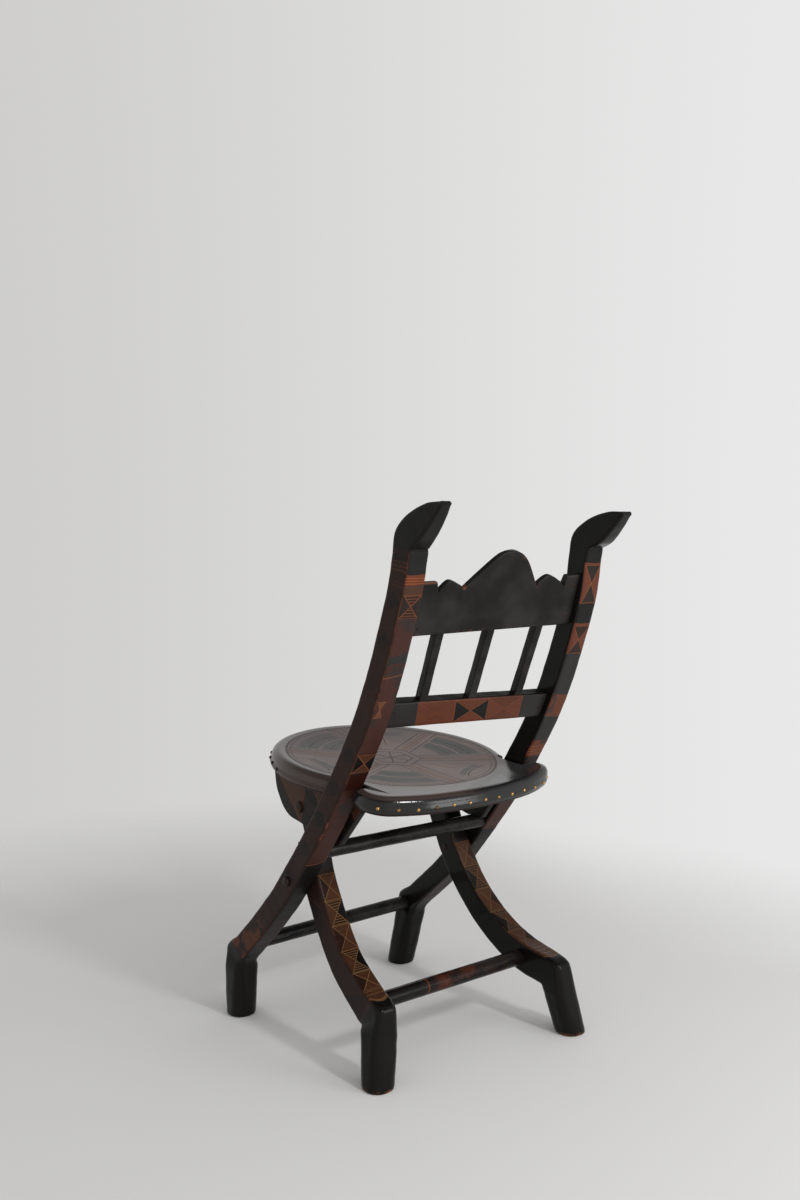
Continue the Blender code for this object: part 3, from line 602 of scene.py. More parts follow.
# Rings of a long member: foot, one mitred ring at the knee, the leg and post, then the horn, whose front
# and under lines are carried on from the post's top
def longRings(side):
    sign, m, shares = sideSign[side], longMember, ringShares()
    across, gap = (sign, 0, 0), m["kneeGap"]
    line = longLine(side, 16)
    square = squareTo(line)
    middle = np.stack([sign * longMiddle(line[:, 1]), line[:, 0], line[:, 1]], 1)
    mitre = unit(square[gap] + [0, 1, 0])[None]
    top = (abs(middle[0, 0]), middle[0, 1], middle[0, 2])
    floorY = leaned(side, (foot["frontReach"], 0.0))[0]
    rings = [footRings(sign, foot["frontX"][side], floorY, top, shares, foot["crown"]),
             carryRings(middle[:1], across, mitre, m["width"], m["kneeDepth"], foot["kneeEdge"], shares),
             carryRings(middle[gap:], across, square[gap:], m["width"], m["depth"], m["edge"], shares)]
    lift = np.array([0.0, m["raise"][side]])
    rise = np.linspace(0, 1, 8)[:, None] * m["neckRise"][side]
    neck = np.array(m["neck"]) + rise * unit(m["neckRun"])
    facet = curveThrough(np.vstack([neck[-1] + m["ledge"], m["hornUnder"]]), 8)
    front = leaned(side, curveThrough(m["hornFront"], 8) + lift)
    under = leaned(side, np.vstack([neck, facet]) + lift)
    share = np.linspace(0, 1, len(front)) ** m["taper"]
    x = longMiddle(m["top"][1]) + sign * m["tipSway"] * share
    centre = np.column_stack([sign * x, (front + under) / 2])
    deep = np.column_stack([np.zeros(len(front)), unit(under - front)])
    width = m["width"] + (m["tipWidth"] - m["width"]) * share
    depth = np.linalg.norm(under - front, axis=1)
    rings.append(carryRings(centre, across, deep, width, depth, m["edge"], shares))
    ledge = sum(len(part) for part in rings[:3]) + len(neck)
    return evenRings(np.concatenate(rings), rows=(ledge - 1, ledge))


# Paint on the posts' rear faces, from the foot up, and the crossed cells there
postPaint = {"left": {"bands": ((0.0, "black"), (0.165, "warm"), (0.245, "black"), (0.381, "purple"),
                                (0.531, "red"), (0.5625, "warm"), (0.597, "purple"), (0.741, "grey"),
                                (0.756, "purple"), (0.810, "warm"), (0.846, "umber"), (0.858, "orange"),
                                (0.869, "black")),
                      "cells": ((0.565, 0.597, "black", "umber", 0, 0.6),
                                (0.811, 0.846, "warm", "outer", 1, 0.6)),
                      "lines": (0.381, 0.724), "hatch": (0.8585, 0.8685, 0.0036),
                      "worn": (0.46, 0.58)},
             "right": {"bands": ((0.0, "black"), (0.160, "warm"), (0.245, "black"), (0.400, "purple"),
                                 (0.480, "warm"), (0.575, "brick"), (0.608, "grey"), (0.660, "brick"),
                                 (0.700, "grey"), (0.772, "brick"), (0.821, "black"), (0.856, "brick"),
                                 (0.917, "black")),
                       "cells": ((0.858, 0.916, "brick", "warm", 0, 1.0),
                                 (0.774, 0.820, "brick", "outer", 0, 0.5)),
                       "lines": (0.400, 0.660), "hatch": (0.579, 0.600, 0.0052),
                       "worn": (0.50, 0.62)},
             "rearFace": (0.88, 0.95), "reach": 1.1, "dressed": (0.125, 0.905), "diamond": 0.062,
             "seam": (0.435, 0.505), "triple": (0.872, 0.889), "double": (0.851, 0.860), "dry": 0.20}
goldMark = {"low": 0.660, "high": 0.686, "middle": 0.42, "half": 0.42}


# Painted and cut post: bands and crossed cells at the rear, a zigzag with diamonds on the outer face
def postLook(side):
    look, wires, shader, coords, (along, wide, deep) = woodLook("painted_post_" + side)
    plan = postPaint[side]
    shaky = along + (coords.noise(30.0, 2.0) - 0.5) * 0.007 + wide * 0.0015
    rearFace, outerFace = deep.ease(*postPaint["rearFace"]), wide.ease(*postPaint["rearFace"])
    bands = paintBands(wires, shaky, plan["bands"], postPaint["reach"])
    colour = wires.mix(rearFace, paint["black"], bands)
    blot = coords.noise(24.0, 3.0).ease(0.56, 0.62) * rearFace * along.band(0.25, 0.86, 0.01)
    colour = wires.mix(blot * 0.7, colour, paint["grey"])
    groove = 0.0
    for low, high, sides, ends, hatched, share in plan["cells"]:
        inside, lines, sideways = crossedCell(wires, along, wide, low, high)
        onRear = inside * rearFace
        colour = wires.mix(onRear, colour, wires.mix(sideways, paint[ends], paint[sides]))
        if hatched:
            lines = wires.most(lines, inside * (1 - sideways) * hatching(along, 0.0042))
        groove = wires.most(groove, lines * rearFace * share)
    for at in plan["lines"]:
        groove = wires.most(groove, shaky.line(at, 0.0010, 0.0004) * rearFace * 0.7)
    low, high, spacing = plan["hatch"]
    hatched = along.band(low, high, 0.0004) * hatching(along, spacing) * rearFace
    groove = wires.most(groove, hatched)
    if side == "left":
        aside = (wide - goldMark["middle"]) / goldMark["half"]
        ends = goldMark["low"], goldMark["high"]
        inside, lines, sideways = crossedCell(wires, along, aside, *ends, 0.0007)
        within = inside * rearFace * aside.band(-1.0, 1.0, 0.05)
        colour = wires.mix(within * (1 - sideways) * 0.15, colour, paint["gold"])
        groove = wires.most(groove, lines * within)

    dressed = along.band(*postPaint["dressed"], 0.002)
    above, cut = zigzag(along + 0.004, deep, postPaint["diamond"])
    below, cutBack = zigzag(along + 0.035, deep, postPaint["diamond"])
    fade = coords.noise(7.0, 2.0).ease(0.38, 0.6, 0.15, 0.85)
    triangle = above * (1 - below)
    brownOuter = wires.mix(triangle * fade, paint["outer"], paint["black"])
    lowOuter = along.band(0.115, 0.215, 0.012) * coords.noise(30.0, 2.0).ease(0.44, 0.52)
    brownOuter = wires.mix(lowOuter * 0.7, brownOuter, paint["brick"])
    colour = wires.mix(outerFace * dressed, colour, brownOuter)
    triple = along.band(*postPaint["triple"], 0.0005) * hatching(along, 0.0060)
    double = along.band(*postPaint["double"], 0.0005) * hatching(along, 0.0045) * deep.ease(-0.4, -0.3)
    faint = wires.most(cut, cutBack) * along.band(0.40, 0.868, 0.001) * fade * 0.16
    faint = wires.most(faint, triple * 0.8, double * 0.6) * outerFace

    if side == "left":
        corner = wide.ease(0.84, 0.96) * deep.ease(0.84, 0.96)
        seam = corner * along.band(*postPaint["seam"], 0.006) * coords.noise(75.0, 2.0).ease(0.54, 0.62)
        colour = wires.mix(seam * 0.6, colour, paint["cut"])
    rubbed = rubbedEdges(coords, wide, deep, *plan["worn"])
    rubbed = rubbed * along.ease(0.44, 0.54, 0.12, 1.0) * along.ease(0.93, 0.86)
    colour = wires.mix(rubbed * 0.8, colour, paint["bare"])
    colour = wires.mix(groove * 0.62, colour, paint["cut"])
    colour = wires.mix(faint * 0.28, colour, paint["bare"])
    dry = dressed * wires.most(rearFace, outerFace) * postPaint["dry"]
    woodSkin(wires, shader, colour, "upright", wires.most(groove, faint * 0.5), rubbed, 0.24, dry)
    return look


def longPiece(side, seed, look):
    rings, along = longRings(side)
    rings = handCarved(rings, along, carved["members"], seed)
    piece = skinOver("long_member_" + side + "_carved", rings, along, look)
    return fit(piece, "back_frame", "painted_wood", "long_member_" + side)


for side, seed in (("left", 3), ("right", 4)):
    longPiece(side, seed, postLook(side))
print("long members carved")


# Short members: rear foot, knee, leg and the arm that carries the seat
shortMember = {"width": 0.036, "depth": 0.043, "edge": 0.004, "middle": 0.1447, "kneeGrow": 0.006,
               "kneeEnds": {"left": ((0.0224, 0.0122), (-0.0255, -0.0205)),
                            "right": ((0.0224, 0.0122), (-0.0145, -0.0290))},
               "kneeGap": 10, "crownGap": 0.04,
               "armEnd": (-0.010, -0.042, 0.38397), "pivot": (-0.0085, -0.035, 0.36597),
               "armMiddle": (-0.00425, -0.0145, 0.313985),
               "line": ((0.0, 0.006, 0.262), (0.004, 0.043, 0.203), (0.011, 0.090, 0.153),
                        (0.0175, 0.150, 0.117)),
               "kneeOut": 0.0215, "kneeHeight": 0.101, "kneeReach": {"left": 0.186, "right": 0.221},
               "footLean": {"left": 0.016, "right": 0.022}, "lapX": 0.1397, "lapHeight": 0.31697,
               "lapEdge": 0.0002, "armRings": 60}


# Rings of a short member from the arm's end down: arm and leg, one mitred ring at the knee, the foot;
# also the distance along at which the lap's shoulder lies
def shortRings(side):
    sign, m, shares = sideSign[side], shortMember, ringShares()
    across = (sign, 0, 0)
    knee = (m["kneeOut"], m["kneeReach"][side], m["kneeHeight"])
    line = curveThrough((m["armEnd"], m["pivot"], m["armMiddle"]) + m["line"] + (knee,), 16)
    line = line + [m["middle"], crossing["y"], 0.0]
    upper = len(line) - m["kneeGap"]
    square = -squareTo(line[:, 1:])[:upper]
    grow = m["kneeGrow"] * np.clip(np.linspace(-1.0, 1.0, upper), 0, 1) ** 2
    kneeTop, kneeLow = (np.array((0.0,) + end) for end in m["kneeEnds"][side])
    mitre, kneeDepth = unit((kneeTop - kneeLow)[None]), np.linalg.norm(kneeTop - kneeLow)
    turned = line * [sign, 1, 1]
    centre = turned[:upper] - square * (grow / 2)[:, None]
    kneeCentre = turned[-1:] + (kneeTop + kneeLow) / 2
    floorY = line[-1, 1] + m["footLean"][side]
    crown = 1 + kneeLow[2] / knee[2] - m["crownGap"]
    rings = np.concatenate([
        carryRings(centre, across, square, m["width"], m["depth"] + grow, m["edge"], shares),
        carryRings(kneeCentre, across, mitre, m["width"], kneeDepth, foot["kneeEdge"], shares),
        footRings(sign, foot["rearX"], floorY, line[-1], shares, crown)[::-1]])
    middles = rings[..., :3].mean(1)
    arm = slice(0, m["armRings"])
    shoulder = np.interp(-m["lapHeight"], -middles[arm, 2], runLength(middles)[arm])
    rings, along = evenRings(rings, (shoulder - m["lapEdge"], shoulder + m["lapEdge"]))
    return rings, along, shoulder


# Crossed cells down the rear face of a short member, with a tongue at the knee
legPaint = {"cells": {"left": (0.134, 0.178, 0.222, 0.268, 0.314, 0.349),
                      "right": (0.130, 0.176, 0.222, 0.270, 0.320, 0.368)},
            "tongue": {"left": 0.370, "right": 0.401}, "bend": 0.005, "arm": 0.13,
            "lines": {"left": 0.75, "right": 0.5}, "rearFace": (0.88, 0.95), "zigzag": 0.078,
            "worn": (0.50, 0.64), "dryRear": 0.10, "dryOuter": 0.36}


def legLook(side):
    look, wires, shader, coords, (along, wide, deep) = woodLook("painted_leg_" + side)
    rearFace, outerFace = deep.ease(*legPaint["rearFace"]), wide.ease(*legPaint["rearFace"])
    cells = legPaint["cells"][side]
    end = legPaint["tongue"][side]
    bent = along + wide * wide * legPaint["bend"]
    tongue = bent.ease(end + 0.0012, end - 0.0012)
    dressed = tongue * along.ease(legPaint["arm"] - 0.01, legPaint["arm"] + 0.002)
    colour = wires.mix(dressed * rearFace, paint["black"], paint["warm"])
    groove = 0.0
    outerHalf = wide.ease(-0.05, 0.05)
    for count, (low, high) in enumerate(zip(cells, cells[1:])):
        inside, lines, sideways = crossedCell(wires, along, wide, low, high, 0.0006)
        onRear = inside * rearFace
        if count % 2:
            tint, ends = wires.mix(outerHalf, paint["black"], paint["umber"]), paint["outer"]
            lines = wires.most(lines, inside * (1 - sideways) * hatching(along, 0.0044) * 0.7)
        else:
            tint, ends = wires.mix(outerHalf, paint["umber"], paint["outer"]), paint["umber"]
        colour = wires.mix(onRear, colour, wires.mix(sideways, ends, tint))
        groove = wires.most(groove, lines * rearFace)
    rim = bent.band(end - 0.0025, end, 0.0006) * rearFace
    lastCuts = along.band(cells[-1], end - 0.004, 0.0004) * hatching(along, 0.0075)
    groove = wires.most(groove, rim * 0.5, lastCuts * rearFace * tongue * 0.3)
    colour = wires.mix(along.band(cells[-1], end, 0.001) * rearFace * tongue, colour, paint["umber"])
    above, cut = zigzag(along, deep, legPaint["zigzag"])
    outerSide = along.band(0.12, end, 0.004) * outerFace
    cloud = coords.noise(9.0, 2.0).ease(0.36, 0.6, 0.2, 0.8)
    colour = wires.mix(outerSide, colour, wires.mix(above * cloud, paint["outer"], paint["black"]))
    faint = cut * outerSide * cloud
    rubbed = rubbedEdges(coords, wide, deep, *legPaint["worn"]) * along.ease(end + 0.01, end - 0.02)
    floorWear = coords.split()[2].ease(0.007, 0.002) * coords.noise(60.0).ease(0.42, 0.6)
    colour = wires.mix(wires.most(rubbed, floorWear) * 0.7, colour, paint["bare"])
    colour = wires.mix(groove * legPaint["lines"][side], colour, paint["straw"])
    colour = wires.mix(faint * 0.12, colour, paint["bare"])
    dry = dressed * wires.most(rearFace * legPaint["dryRear"], outerFace * legPaint["dryOuter"])
    woodSkin(wires, shader, colour, "upright", wires.most(groove, faint * 0.4), rubbed, 0.17, dry)
    return look


def shortPiece(side, seed, look):
    rings, along, shoulder = shortRings(side)
    rings = handCarved(rings, along, carved["members"], seed)
    x = rings[..., 0] * sideSign[side]
    x = np.where((along < shoulder)[:, None], np.minimum(x, shortMember["lapX"]), x)  # cut at the lap
    rings[..., 0] = x * sideSign[side]
    piece = skinOver("short_member_" + side + "_carved", rings, along, look)
    return fit(piece, "leg_frame", "painted_wood", "short_member_" + side)


for side, seed in (("left", 5), ("right", 6)):
    shortPiece(side, seed, legLook(side))
print("short members carved")


# Back rails: sections carried along the rail, u to the sitter's left, v up it
rail = {"thick": 0.018, "depth": 0.044, "edge": 0.003, "housing": 0.010, "left": 0.5415, "right": 0.532}
crest = {"thick": 0.018, "left": 0.6575, "right": 0.665, "edge": 0.0025, "endHeight": 0.0815,
         "steps": (0.1134, -0.1247), "thinOver": 0.030, "thinBy": 0.009,
         "humps": (((0.1092, 0.0664), (0.1046, 0.0730), (0.0914, 0.0826), (0.0724, 0.0752),
                    (0.0652, 0.0703)),
                   ((0.0652, 0.0703), (0.041, 0.0926), (0.0163, 0.1139), (0.0044, 0.1212),
                    (-0.0086, 0.1243), (-0.0203, 0.1236), (-0.0333, 0.1177), (-0.0436, 0.1080),
                    (-0.0530, 0.0943), (-0.0686, 0.0674)),
                   ((-0.0686, 0.0674), (-0.0743, 0.0755), (-0.0902, 0.0832), (-0.1111, 0.0739),
                    (-0.1222, 0.0653)))}
spindleRow = {"size": 0.014, "spacing": 0.092, "tenon": 0.008, "edge": 0.0015}


# A rail's frame from its heights on both posts: middle, along, up, rear, and half its length
def railFrame(leftHeight, rightHeight, housing):
    left, leanLeft = longAt("left", leftHeight)
    right, leanRight = longAt("right", rightHeight)
    x = unit(left - right)
    front = unit(np.cross(x, leanLeft + leanRight))
    half = abs(left[0] - right[0]) / 2 - longMember["width"] / 2 + housing
    return (left + right) / 2, x, np.cross(front, x), -front, half


# The crest's top line, right to left: smooth curves through the humps' points, flat past the end steps
def crestTop(half):
    left, right = crest["steps"]
    level = crest["endHeight"]
    humps = [curveThrough(knots, 12) for knots in crest["humps"]]
    ends = [(half, level), (left, level)], [(right, level), (-half, level)]
    return np.vstack([ends[0], *humps, ends[1]])[::-1]


def crestPiece(look):
    middle, x, up, rear, half = railFrame(crest["left"], crest["right"], rail["housing"])
    line = crestTop(half)
    u = np.unique(np.concatenate([np.linspace(-half, half, 241), line[:, 0]]))
    height = np.interp(u, line[:, 0], line[:, 1])
    centre = middle + x * u[:, None] + up * (height / 2)[:, None]
    rings = carryRings(centre, up, rear, height, crest["thick"], crest["edge"], ringShares(4, 14))
    under = (1 - rings[..., 3]) / 2 * height[:, None]               # depth below the top edge
    thin = np.clip(1 - under / crest["thinOver"], 0, 1) * (1 - rings[..., 4]) / 2
    rings[..., :3] += rear * (crest["thinBy"] * thin)[..., None]    # front pared away towards the top
    fit(skinOver("crest_rail_board", rings, u, look), "back_frame", "painted_wood", "crest_rail")
    return middle, x, up, rear


def lowerRailPiece(look):
    middle, x, up, rear, half = railFrame(rail["left"], rail["right"], rail["housing"])
    u = np.linspace(-half, half, 161)
    rings = carryRings(middle + x * u[:, None], up, rear, rail["depth"], rail["thick"], rail["edge"],
                       ringShares(4, 8))
    rings = handCarved(rings, u, carved["rail"], 8)
    fit(skinOver("lower_rail_board", rings, u, look), "back_frame", "painted_wood", "lower_rail")
    return middle, x, up, rear


def spindlePiece(name, shift, lower, upper, look):
    start = lower[0] + lower[1] * shift + lower[2] * (rail["depth"] / 2)
    end = upper[0] + upper[1] * shift
    run, size, tenon = unit(end - start), spindleRow["size"], spindleRow["tenon"]
    t = np.linspace(-tenon, np.linalg.norm(end - start) + tenon, 61)
    rear = unit(np.cross(run, upper[1]))
    across = unit(np.cross(rear, run))
    rings = carryRings(start + run * t[:, None], across, rear, size, size, spindleRow["edge"],
                       ringShares(4, 4))
    piece = skinOver(name + "_bar", handCarved(rings, t, carved["spindles"], 11), t, look)
    return fit(piece, "back_frame", "painted_wood", name)


# Lower rail: brick panels and a black bow tie between black ends, their edges slanting with the height
railPaint = {"edges": (0.098, 0.0275, -0.0365, -0.1055), "slant": 0.004, "lines": (0.35, 0.6),
             "worn": (0.52, 0.66)}


def railLook():
    look, wires, shader, coords, (along, wide, deep) = woodLook("painted_lower_rail")
    shaky = along + wide * -railPaint["slant"] + (coords.noise(30.0, 2.0) - 0.5) * 0.004
    rearFace = deep.ease(0.80, 0.93)
    leftEnd, tieLeft, tieRight, rightEnd = railPaint["edges"]
    panels = shaky.band(rightEnd, leftEnd, 0.0005) * rearFace
    colour = wires.mix(panels, wires.mix(rearFace, paint["black"], paint["grey"]), paint["brick"])
    inside, lines, ends = crossedCell(wires, shaky, wide, tieRight, tieLeft, 0.0007)
    colour = wires.mix(inside * rearFace * (1 - ends), colour, paint["black"])
    groove = lines * rearFace
    for low, high, share in zip((tieLeft, rightEnd), (leftEnd, tieRight), railPaint["lines"]):
        inside, lines, ends = crossedCell(wires, shaky, wide, low, high, 0.0006)
        colour = wires.mix(inside * rearFace * ends * share * 0.35, colour, paint["warm"])
        groove = wires.most(groove, lines * rearFace * share)
    rubbed = rubbedEdges(coords, wide, deep, *railPaint["worn"])
    colour = wires.mix(rubbed * 0.5, colour, paint["bare"])
    colour = wires.mix(groove * 0.55, colour, paint["cut"])
    woodSkin(wires, shader, colour, "across", groove * 0.8, rubbed, 0.30)
    return look


# Crest: satin black, brown where the notches between the humps are rubbed
def crestLook():
    look, wires, shader, coords, (along, wide, deep) = woodLook("satin_crest")
    rubbed = rubbedEdges(coords, wide, deep, 0.54, 0.68)
    dip, end = 0.0, crest["steps"][0]
    for knots in crest["humps"][:2]:
        dip = wires.most(dip, along.line(knots[-1][0], 0.0055, 0.0010))
    step = along.ease(end - 0.003, end + 0.002) * wide.ease(0.93, 0.99)
    dip = wires.most(dip * wide.ease(0.86, 0.98), step) * coords.noise(60.0, 3.0).ease(0.34, 0.62)
    rubbed = wires.most(rubbed, dip)
    base = wires.mix(coords.noise(16.0, 4.0).ease(0.36, 0.68), paint["black"], paint["grey"])
    woodSkin(wires, shader, wires.mix(rubbed * 0.6, base, paint["bare"]), "across", 0.0, rubbed, 0.32)
    return look


upperFrame = crestPiece(crestLook())
lowerFrame = lowerRailPiece(railLook())
for name, shift in (("left", 1), ("middle", 0), ("right", -1)):
    spindlePiece("spindle_" + name, shift * spindleRow["spacing"], lowerFrame, upperFrame, blackUpright)
print("back rails and spindles made")


# Round rods: circles carried straight from socket to socket
rods = {"rest_rod": {"body": "back_frame", "radius": 0.012, "height": 0.313, "behind": 0.006},
        "front_stretcher": {"body": "back_frame", "radius": 0.012, "height": 0.117, "reach": -0.158},
        "rear_stretcher": {"body": "leg_frame", "radius": 0.0125, "height": 0.107, "reach": 0.160}}
rodSocket = 0.0155


# Ends of a rod on the members' inner faces, right end second
def rodEnds(node):
    ends, plan = [], rods[node]
    z = plan["height"]
    for side in ("left", "right"):
        x = longMiddle(z) - longMember["width"] / 2
        if node == "rest_rod":
            y = longAt(side, z)[0][1] + plan["behind"]
        elif node == "front_stretcher":
            y = leaned(side, (plan["reach"], z))[0]
        else:
            outward, high = shortMember["line"][-1][::2]
            out = np.interp(z, (shortMember["kneeHeight"], high), (shortMember["kneeOut"], outward))
            x = shortMember["middle"] + out - shortMember["width"] / 2
            y = crossing["y"] + plan["reach"]
        ends.append([sideSign[side] * x, y, z])
    return np.array(ends)


def rodPiece(node, look, seed):
    left, right = rodEnds(node)
    run, radius = unit(left - right), rods[node]["radius"]
    t = np.linspace(-rodSocket, np.linalg.norm(left - right) + rodSocket, 161)
    rear = unit(np.cross(run, (0, 0, 1)))
    rings = carryRings(right + run * t[:, None], (0, 0, 1), rear, 2 * radius, 2 * radius, radius,
                       ringShares(9, 0))
    piece = skinOver(node + "_rod", handCarved(rings, t, carved["rods"], seed), t, look)
    return fit(piece, rods[node]["body"], "painted_wood", node)


rodWear = {"half": 0.042, "soft": 0.012, "nick": 0.056}
wornRod = lacquerLook("worn_stretcher", "across", wear=rodWear)
for seed, node in enumerate(rods, 20):
    rodPiece(node, wornRod if node == "rear_stretcher" else blackAcross, seed)
print("rods made")


# Seat leather: a dished skin that rolls over the rim, with a skirt tacked to the board's edge
seat = {"tiltDeg": 6.0, "height": 0.4377, "reach": 0.049, "radius": 0.194, "centre": -0.044,
        "rear": ((0.1695, 0.050), (0.178, 0.090), (0.181, 0.122), (0.172, 0.146), (0.150, 0.162),
                 (0.090, 0.180)),
        "rearEnd": 0.187, "round": 0.013, "dish": 0.008, "leather": 0.003, "skirt": 0.024,
        "bulge": 0.0018,
        "lip": {"height": 0.007, "out": 0.004, "x": (-0.085, -0.165), "y": (0.085, 0.150)},
        "notchClear": 0.0092, "notchSide": 0.0055, "notchEdge": 0.004, "notchOut": 0.03,
        "notchHeights": (0.37, 0.50), "around": 360}


# The seat's outline from above: a round front, smooth curves through the rear points, mirrored
def seatOutline(count):
    x, y = seat["rear"][0]
    angle = np.linspace(-np.pi / 2, math.atan2(y - seat["centre"], x), 90, endpoint=False)
    arc = seat["radius"] * np.stack([np.cos(angle), np.sin(angle)], 1) + [0.0, seat["centre"]]
    endX, endY = seat["rear"][-1]
    rear = curveThrough(seat["rear"] + ((0.0, seat["rearEnd"]), (-endX, endY)), 12)[:-12]
    half = np.vstack([arc, rear])
    return evenOutline(np.vstack([half, half[-2:0:-1] * [-1, 1], half[:1]]), count)


def insetBy(outline, distance):
    run = np.roll(outline, -1, 0) - np.roll(outline, 1, 0)
    return outline + unit(np.stack([-run[:, 1], run[:, 0]], 1)) * distance


# Seat plane to chair: tilted about X, rear down
def seatPlace(points):
    tilt = math.radians(seat["tiltDeg"])
    x, y, z = points[..., 0], points[..., 1], points[..., 2]
    return np.stack([x, crossing["y"] + seat["reach"] + y * math.cos(tilt) + z * math.sin(tilt),
                     seat["height"] - y * math.sin(tilt) + z * math.cos(tilt)], -1)


def smoothShare(value, low, high):
    t = np.clip((value - low) / (high - low), 0, 1)
    return t * t * (3 - 2 * t)


# The right rear lobe curls up: lifted and drawn out towards its corner, less and less down to the hem
def curled(rows):
    lip, x, y, z = seat["lip"], *rows.T
    share = smoothShare(x, *lip["x"]) * smoothShare(y, *lip["y"]) * np.clip(1 + z / seat["skirt"], 0, 1)
    return rows + share[:, None] * [-lip["out"], lip["out"], lip["height"]]


# The skirt swells out a little between the roll and the hem
def swell(drop):
    return seat["bulge"] * np.sin(np.pi * (drop - seat["round"]) / (seat["skirt"] - seat["round"]))


# Rings from the middle out over the rim, a given depth under the outer face
def leatherSkin(outline, depth):
    rings = []
    flat = insetBy(outline, seat["round"])
    for share in np.linspace(0.03, 1.0, 60)[:-1]:
        sunk = -depth - seat["dish"] * (1 - share ** 2)
        rings.append(np.column_stack([flat * share, np.full(len(flat), sunk)]))
    for turn in np.linspace(np.pi / 2, 0, 10):
        reach = seat["round"] - (seat["round"] - depth) * math.cos(turn)
        rise = -seat["round"] + (seat["round"] - depth) * math.sin(turn)
        rings.append(np.column_stack([insetBy(outline, reach), np.full(len(outline), rise)]))
    return rings


# Outer face, skirt, lining and inner face as one run of rings, with the posts' notches cut out
def leatherPiece(look):
    count = seat["around"]
    outline = seatOutline(count)
    outer = leatherSkin(outline, 0.0)
    inner = leatherSkin(outline, seat["leather"])
    drops = np.linspace(seat["round"], seat["skirt"], 6)[1:]
    tucked = insetBy(outline, seat["leather"])
    hem = [np.column_stack([insetBy(outline, -swell(drop)), np.full(count, -drop)]) for drop in drops]
    lining = [np.column_stack([tucked, np.full(count, -drop)]) for drop in drops[::-1]]
    rings = seatPlace(np.stack([curled(ring) for ring in outer + hem + lining + inner[::-1]]))
    piece = skinOver("seat_leather_cover", rings, np.arange(len(rings)) * 0.001, look)
    for side in sideSign:
        cutNotch(piece, side)
    return fit(piece, "seat", "leather", "seat_leather")


# The post's room in the seat, cut out of the leather
def cutNotch(piece, side):
    across = (sideSign[side], 0, 0)
    places = [longAt(side, z) for z in np.linspace(*seat["notchHeights"], 7)]
    inner = longMiddle(seat["height"]) - longMember["width"] / 2 - seat["notchSide"]
    width = longMember["width"] + seat["notchSide"] + seat["notchOut"]
    depth = longMember["depth"] + 2 * seat["notchClear"]
    centre = np.array([[sideSign[side] * (inner + width / 2), p[1], p[2]] for p, up in places])
    deep = np.array([[0, up[2], -up[1]] for p, up in places])
    rings = carryRings(centre, across, deep, width, depth, seat["notchEdge"], ringShares(4, 2))
    tool = skinOver("notch_tool", rings, np.zeros(len(rings)), blackAcross)
    step = piece.modifiers.new("notch", "BOOLEAN")
    step.operation, step.solver, step.object = "DIFFERENCE", "EXACT", tool
    ready = piece.evaluated_get(bpy.context.evaluated_depsgraph_get())
    done = bpy.data.meshes.new_from_object(ready)
    piece.modifiers.clear()
    old, piece.data = piece.data, done
    bpy.data.meshes.remove(old)
    bpy.data.objects.remove(tool)


# Tooled leather: a pale disc in a dashed ring, six sectors parted by triple stitched lines, every second
# one stained dark, with crescents and leaves between; the rim and the rear corners are black
tooling = {"centreY": -0.0783, "ring": 0.172, "bands": (28.0, 88.0, 148.0), "stitch": 0.0105,
           "bandEdge": 0.0145, "hub": (0.046, 0.050), "hexagons": (0.044, 0.031),
           "panels": (0.088, 0.152), "panelGap": (0.116, 0.121), "panelRows": (0.102, 0.136),
           "panelEdges": (0.086, 0.1545), "panelSides": (0.017, 0.0185), "moon": (0.126, 0.136),
           "moonBend": -9.0, "moonLine": 0.140, "leaf": 0.092, "leafWide": 0.0095, "leafTaper": 22.0,
           "notchShadow": ((0.156, 0.052), (0.1425, 0.0945), 0.011)}
leather = {"pale": (0.090, 0.053, 0.042), "worn": (0.160, 0.110, 0.096), "tan": (0.20, 0.095, 0.06),
           "stain": (0.007, 0.006, 0.0055), "panel": (0.021, 0.0205, 0.019),
           "rimBrown": (0.046, 0.030, 0.025), "skirt": (0.030, 0.012, 0.008),
           "black": (0.005, 0.0044, 0.0042), "notchShadow": (0.003, 0.0026, 0.0024), "tilt": 0.1051,
           "rearY": (0.105, 0.135), "rollTop": (0.4389, 0.4364), "dropTop": (0.4287, 0.4247),
           "cornerLean": -0.55, "corner": (0.185, 0.225)}


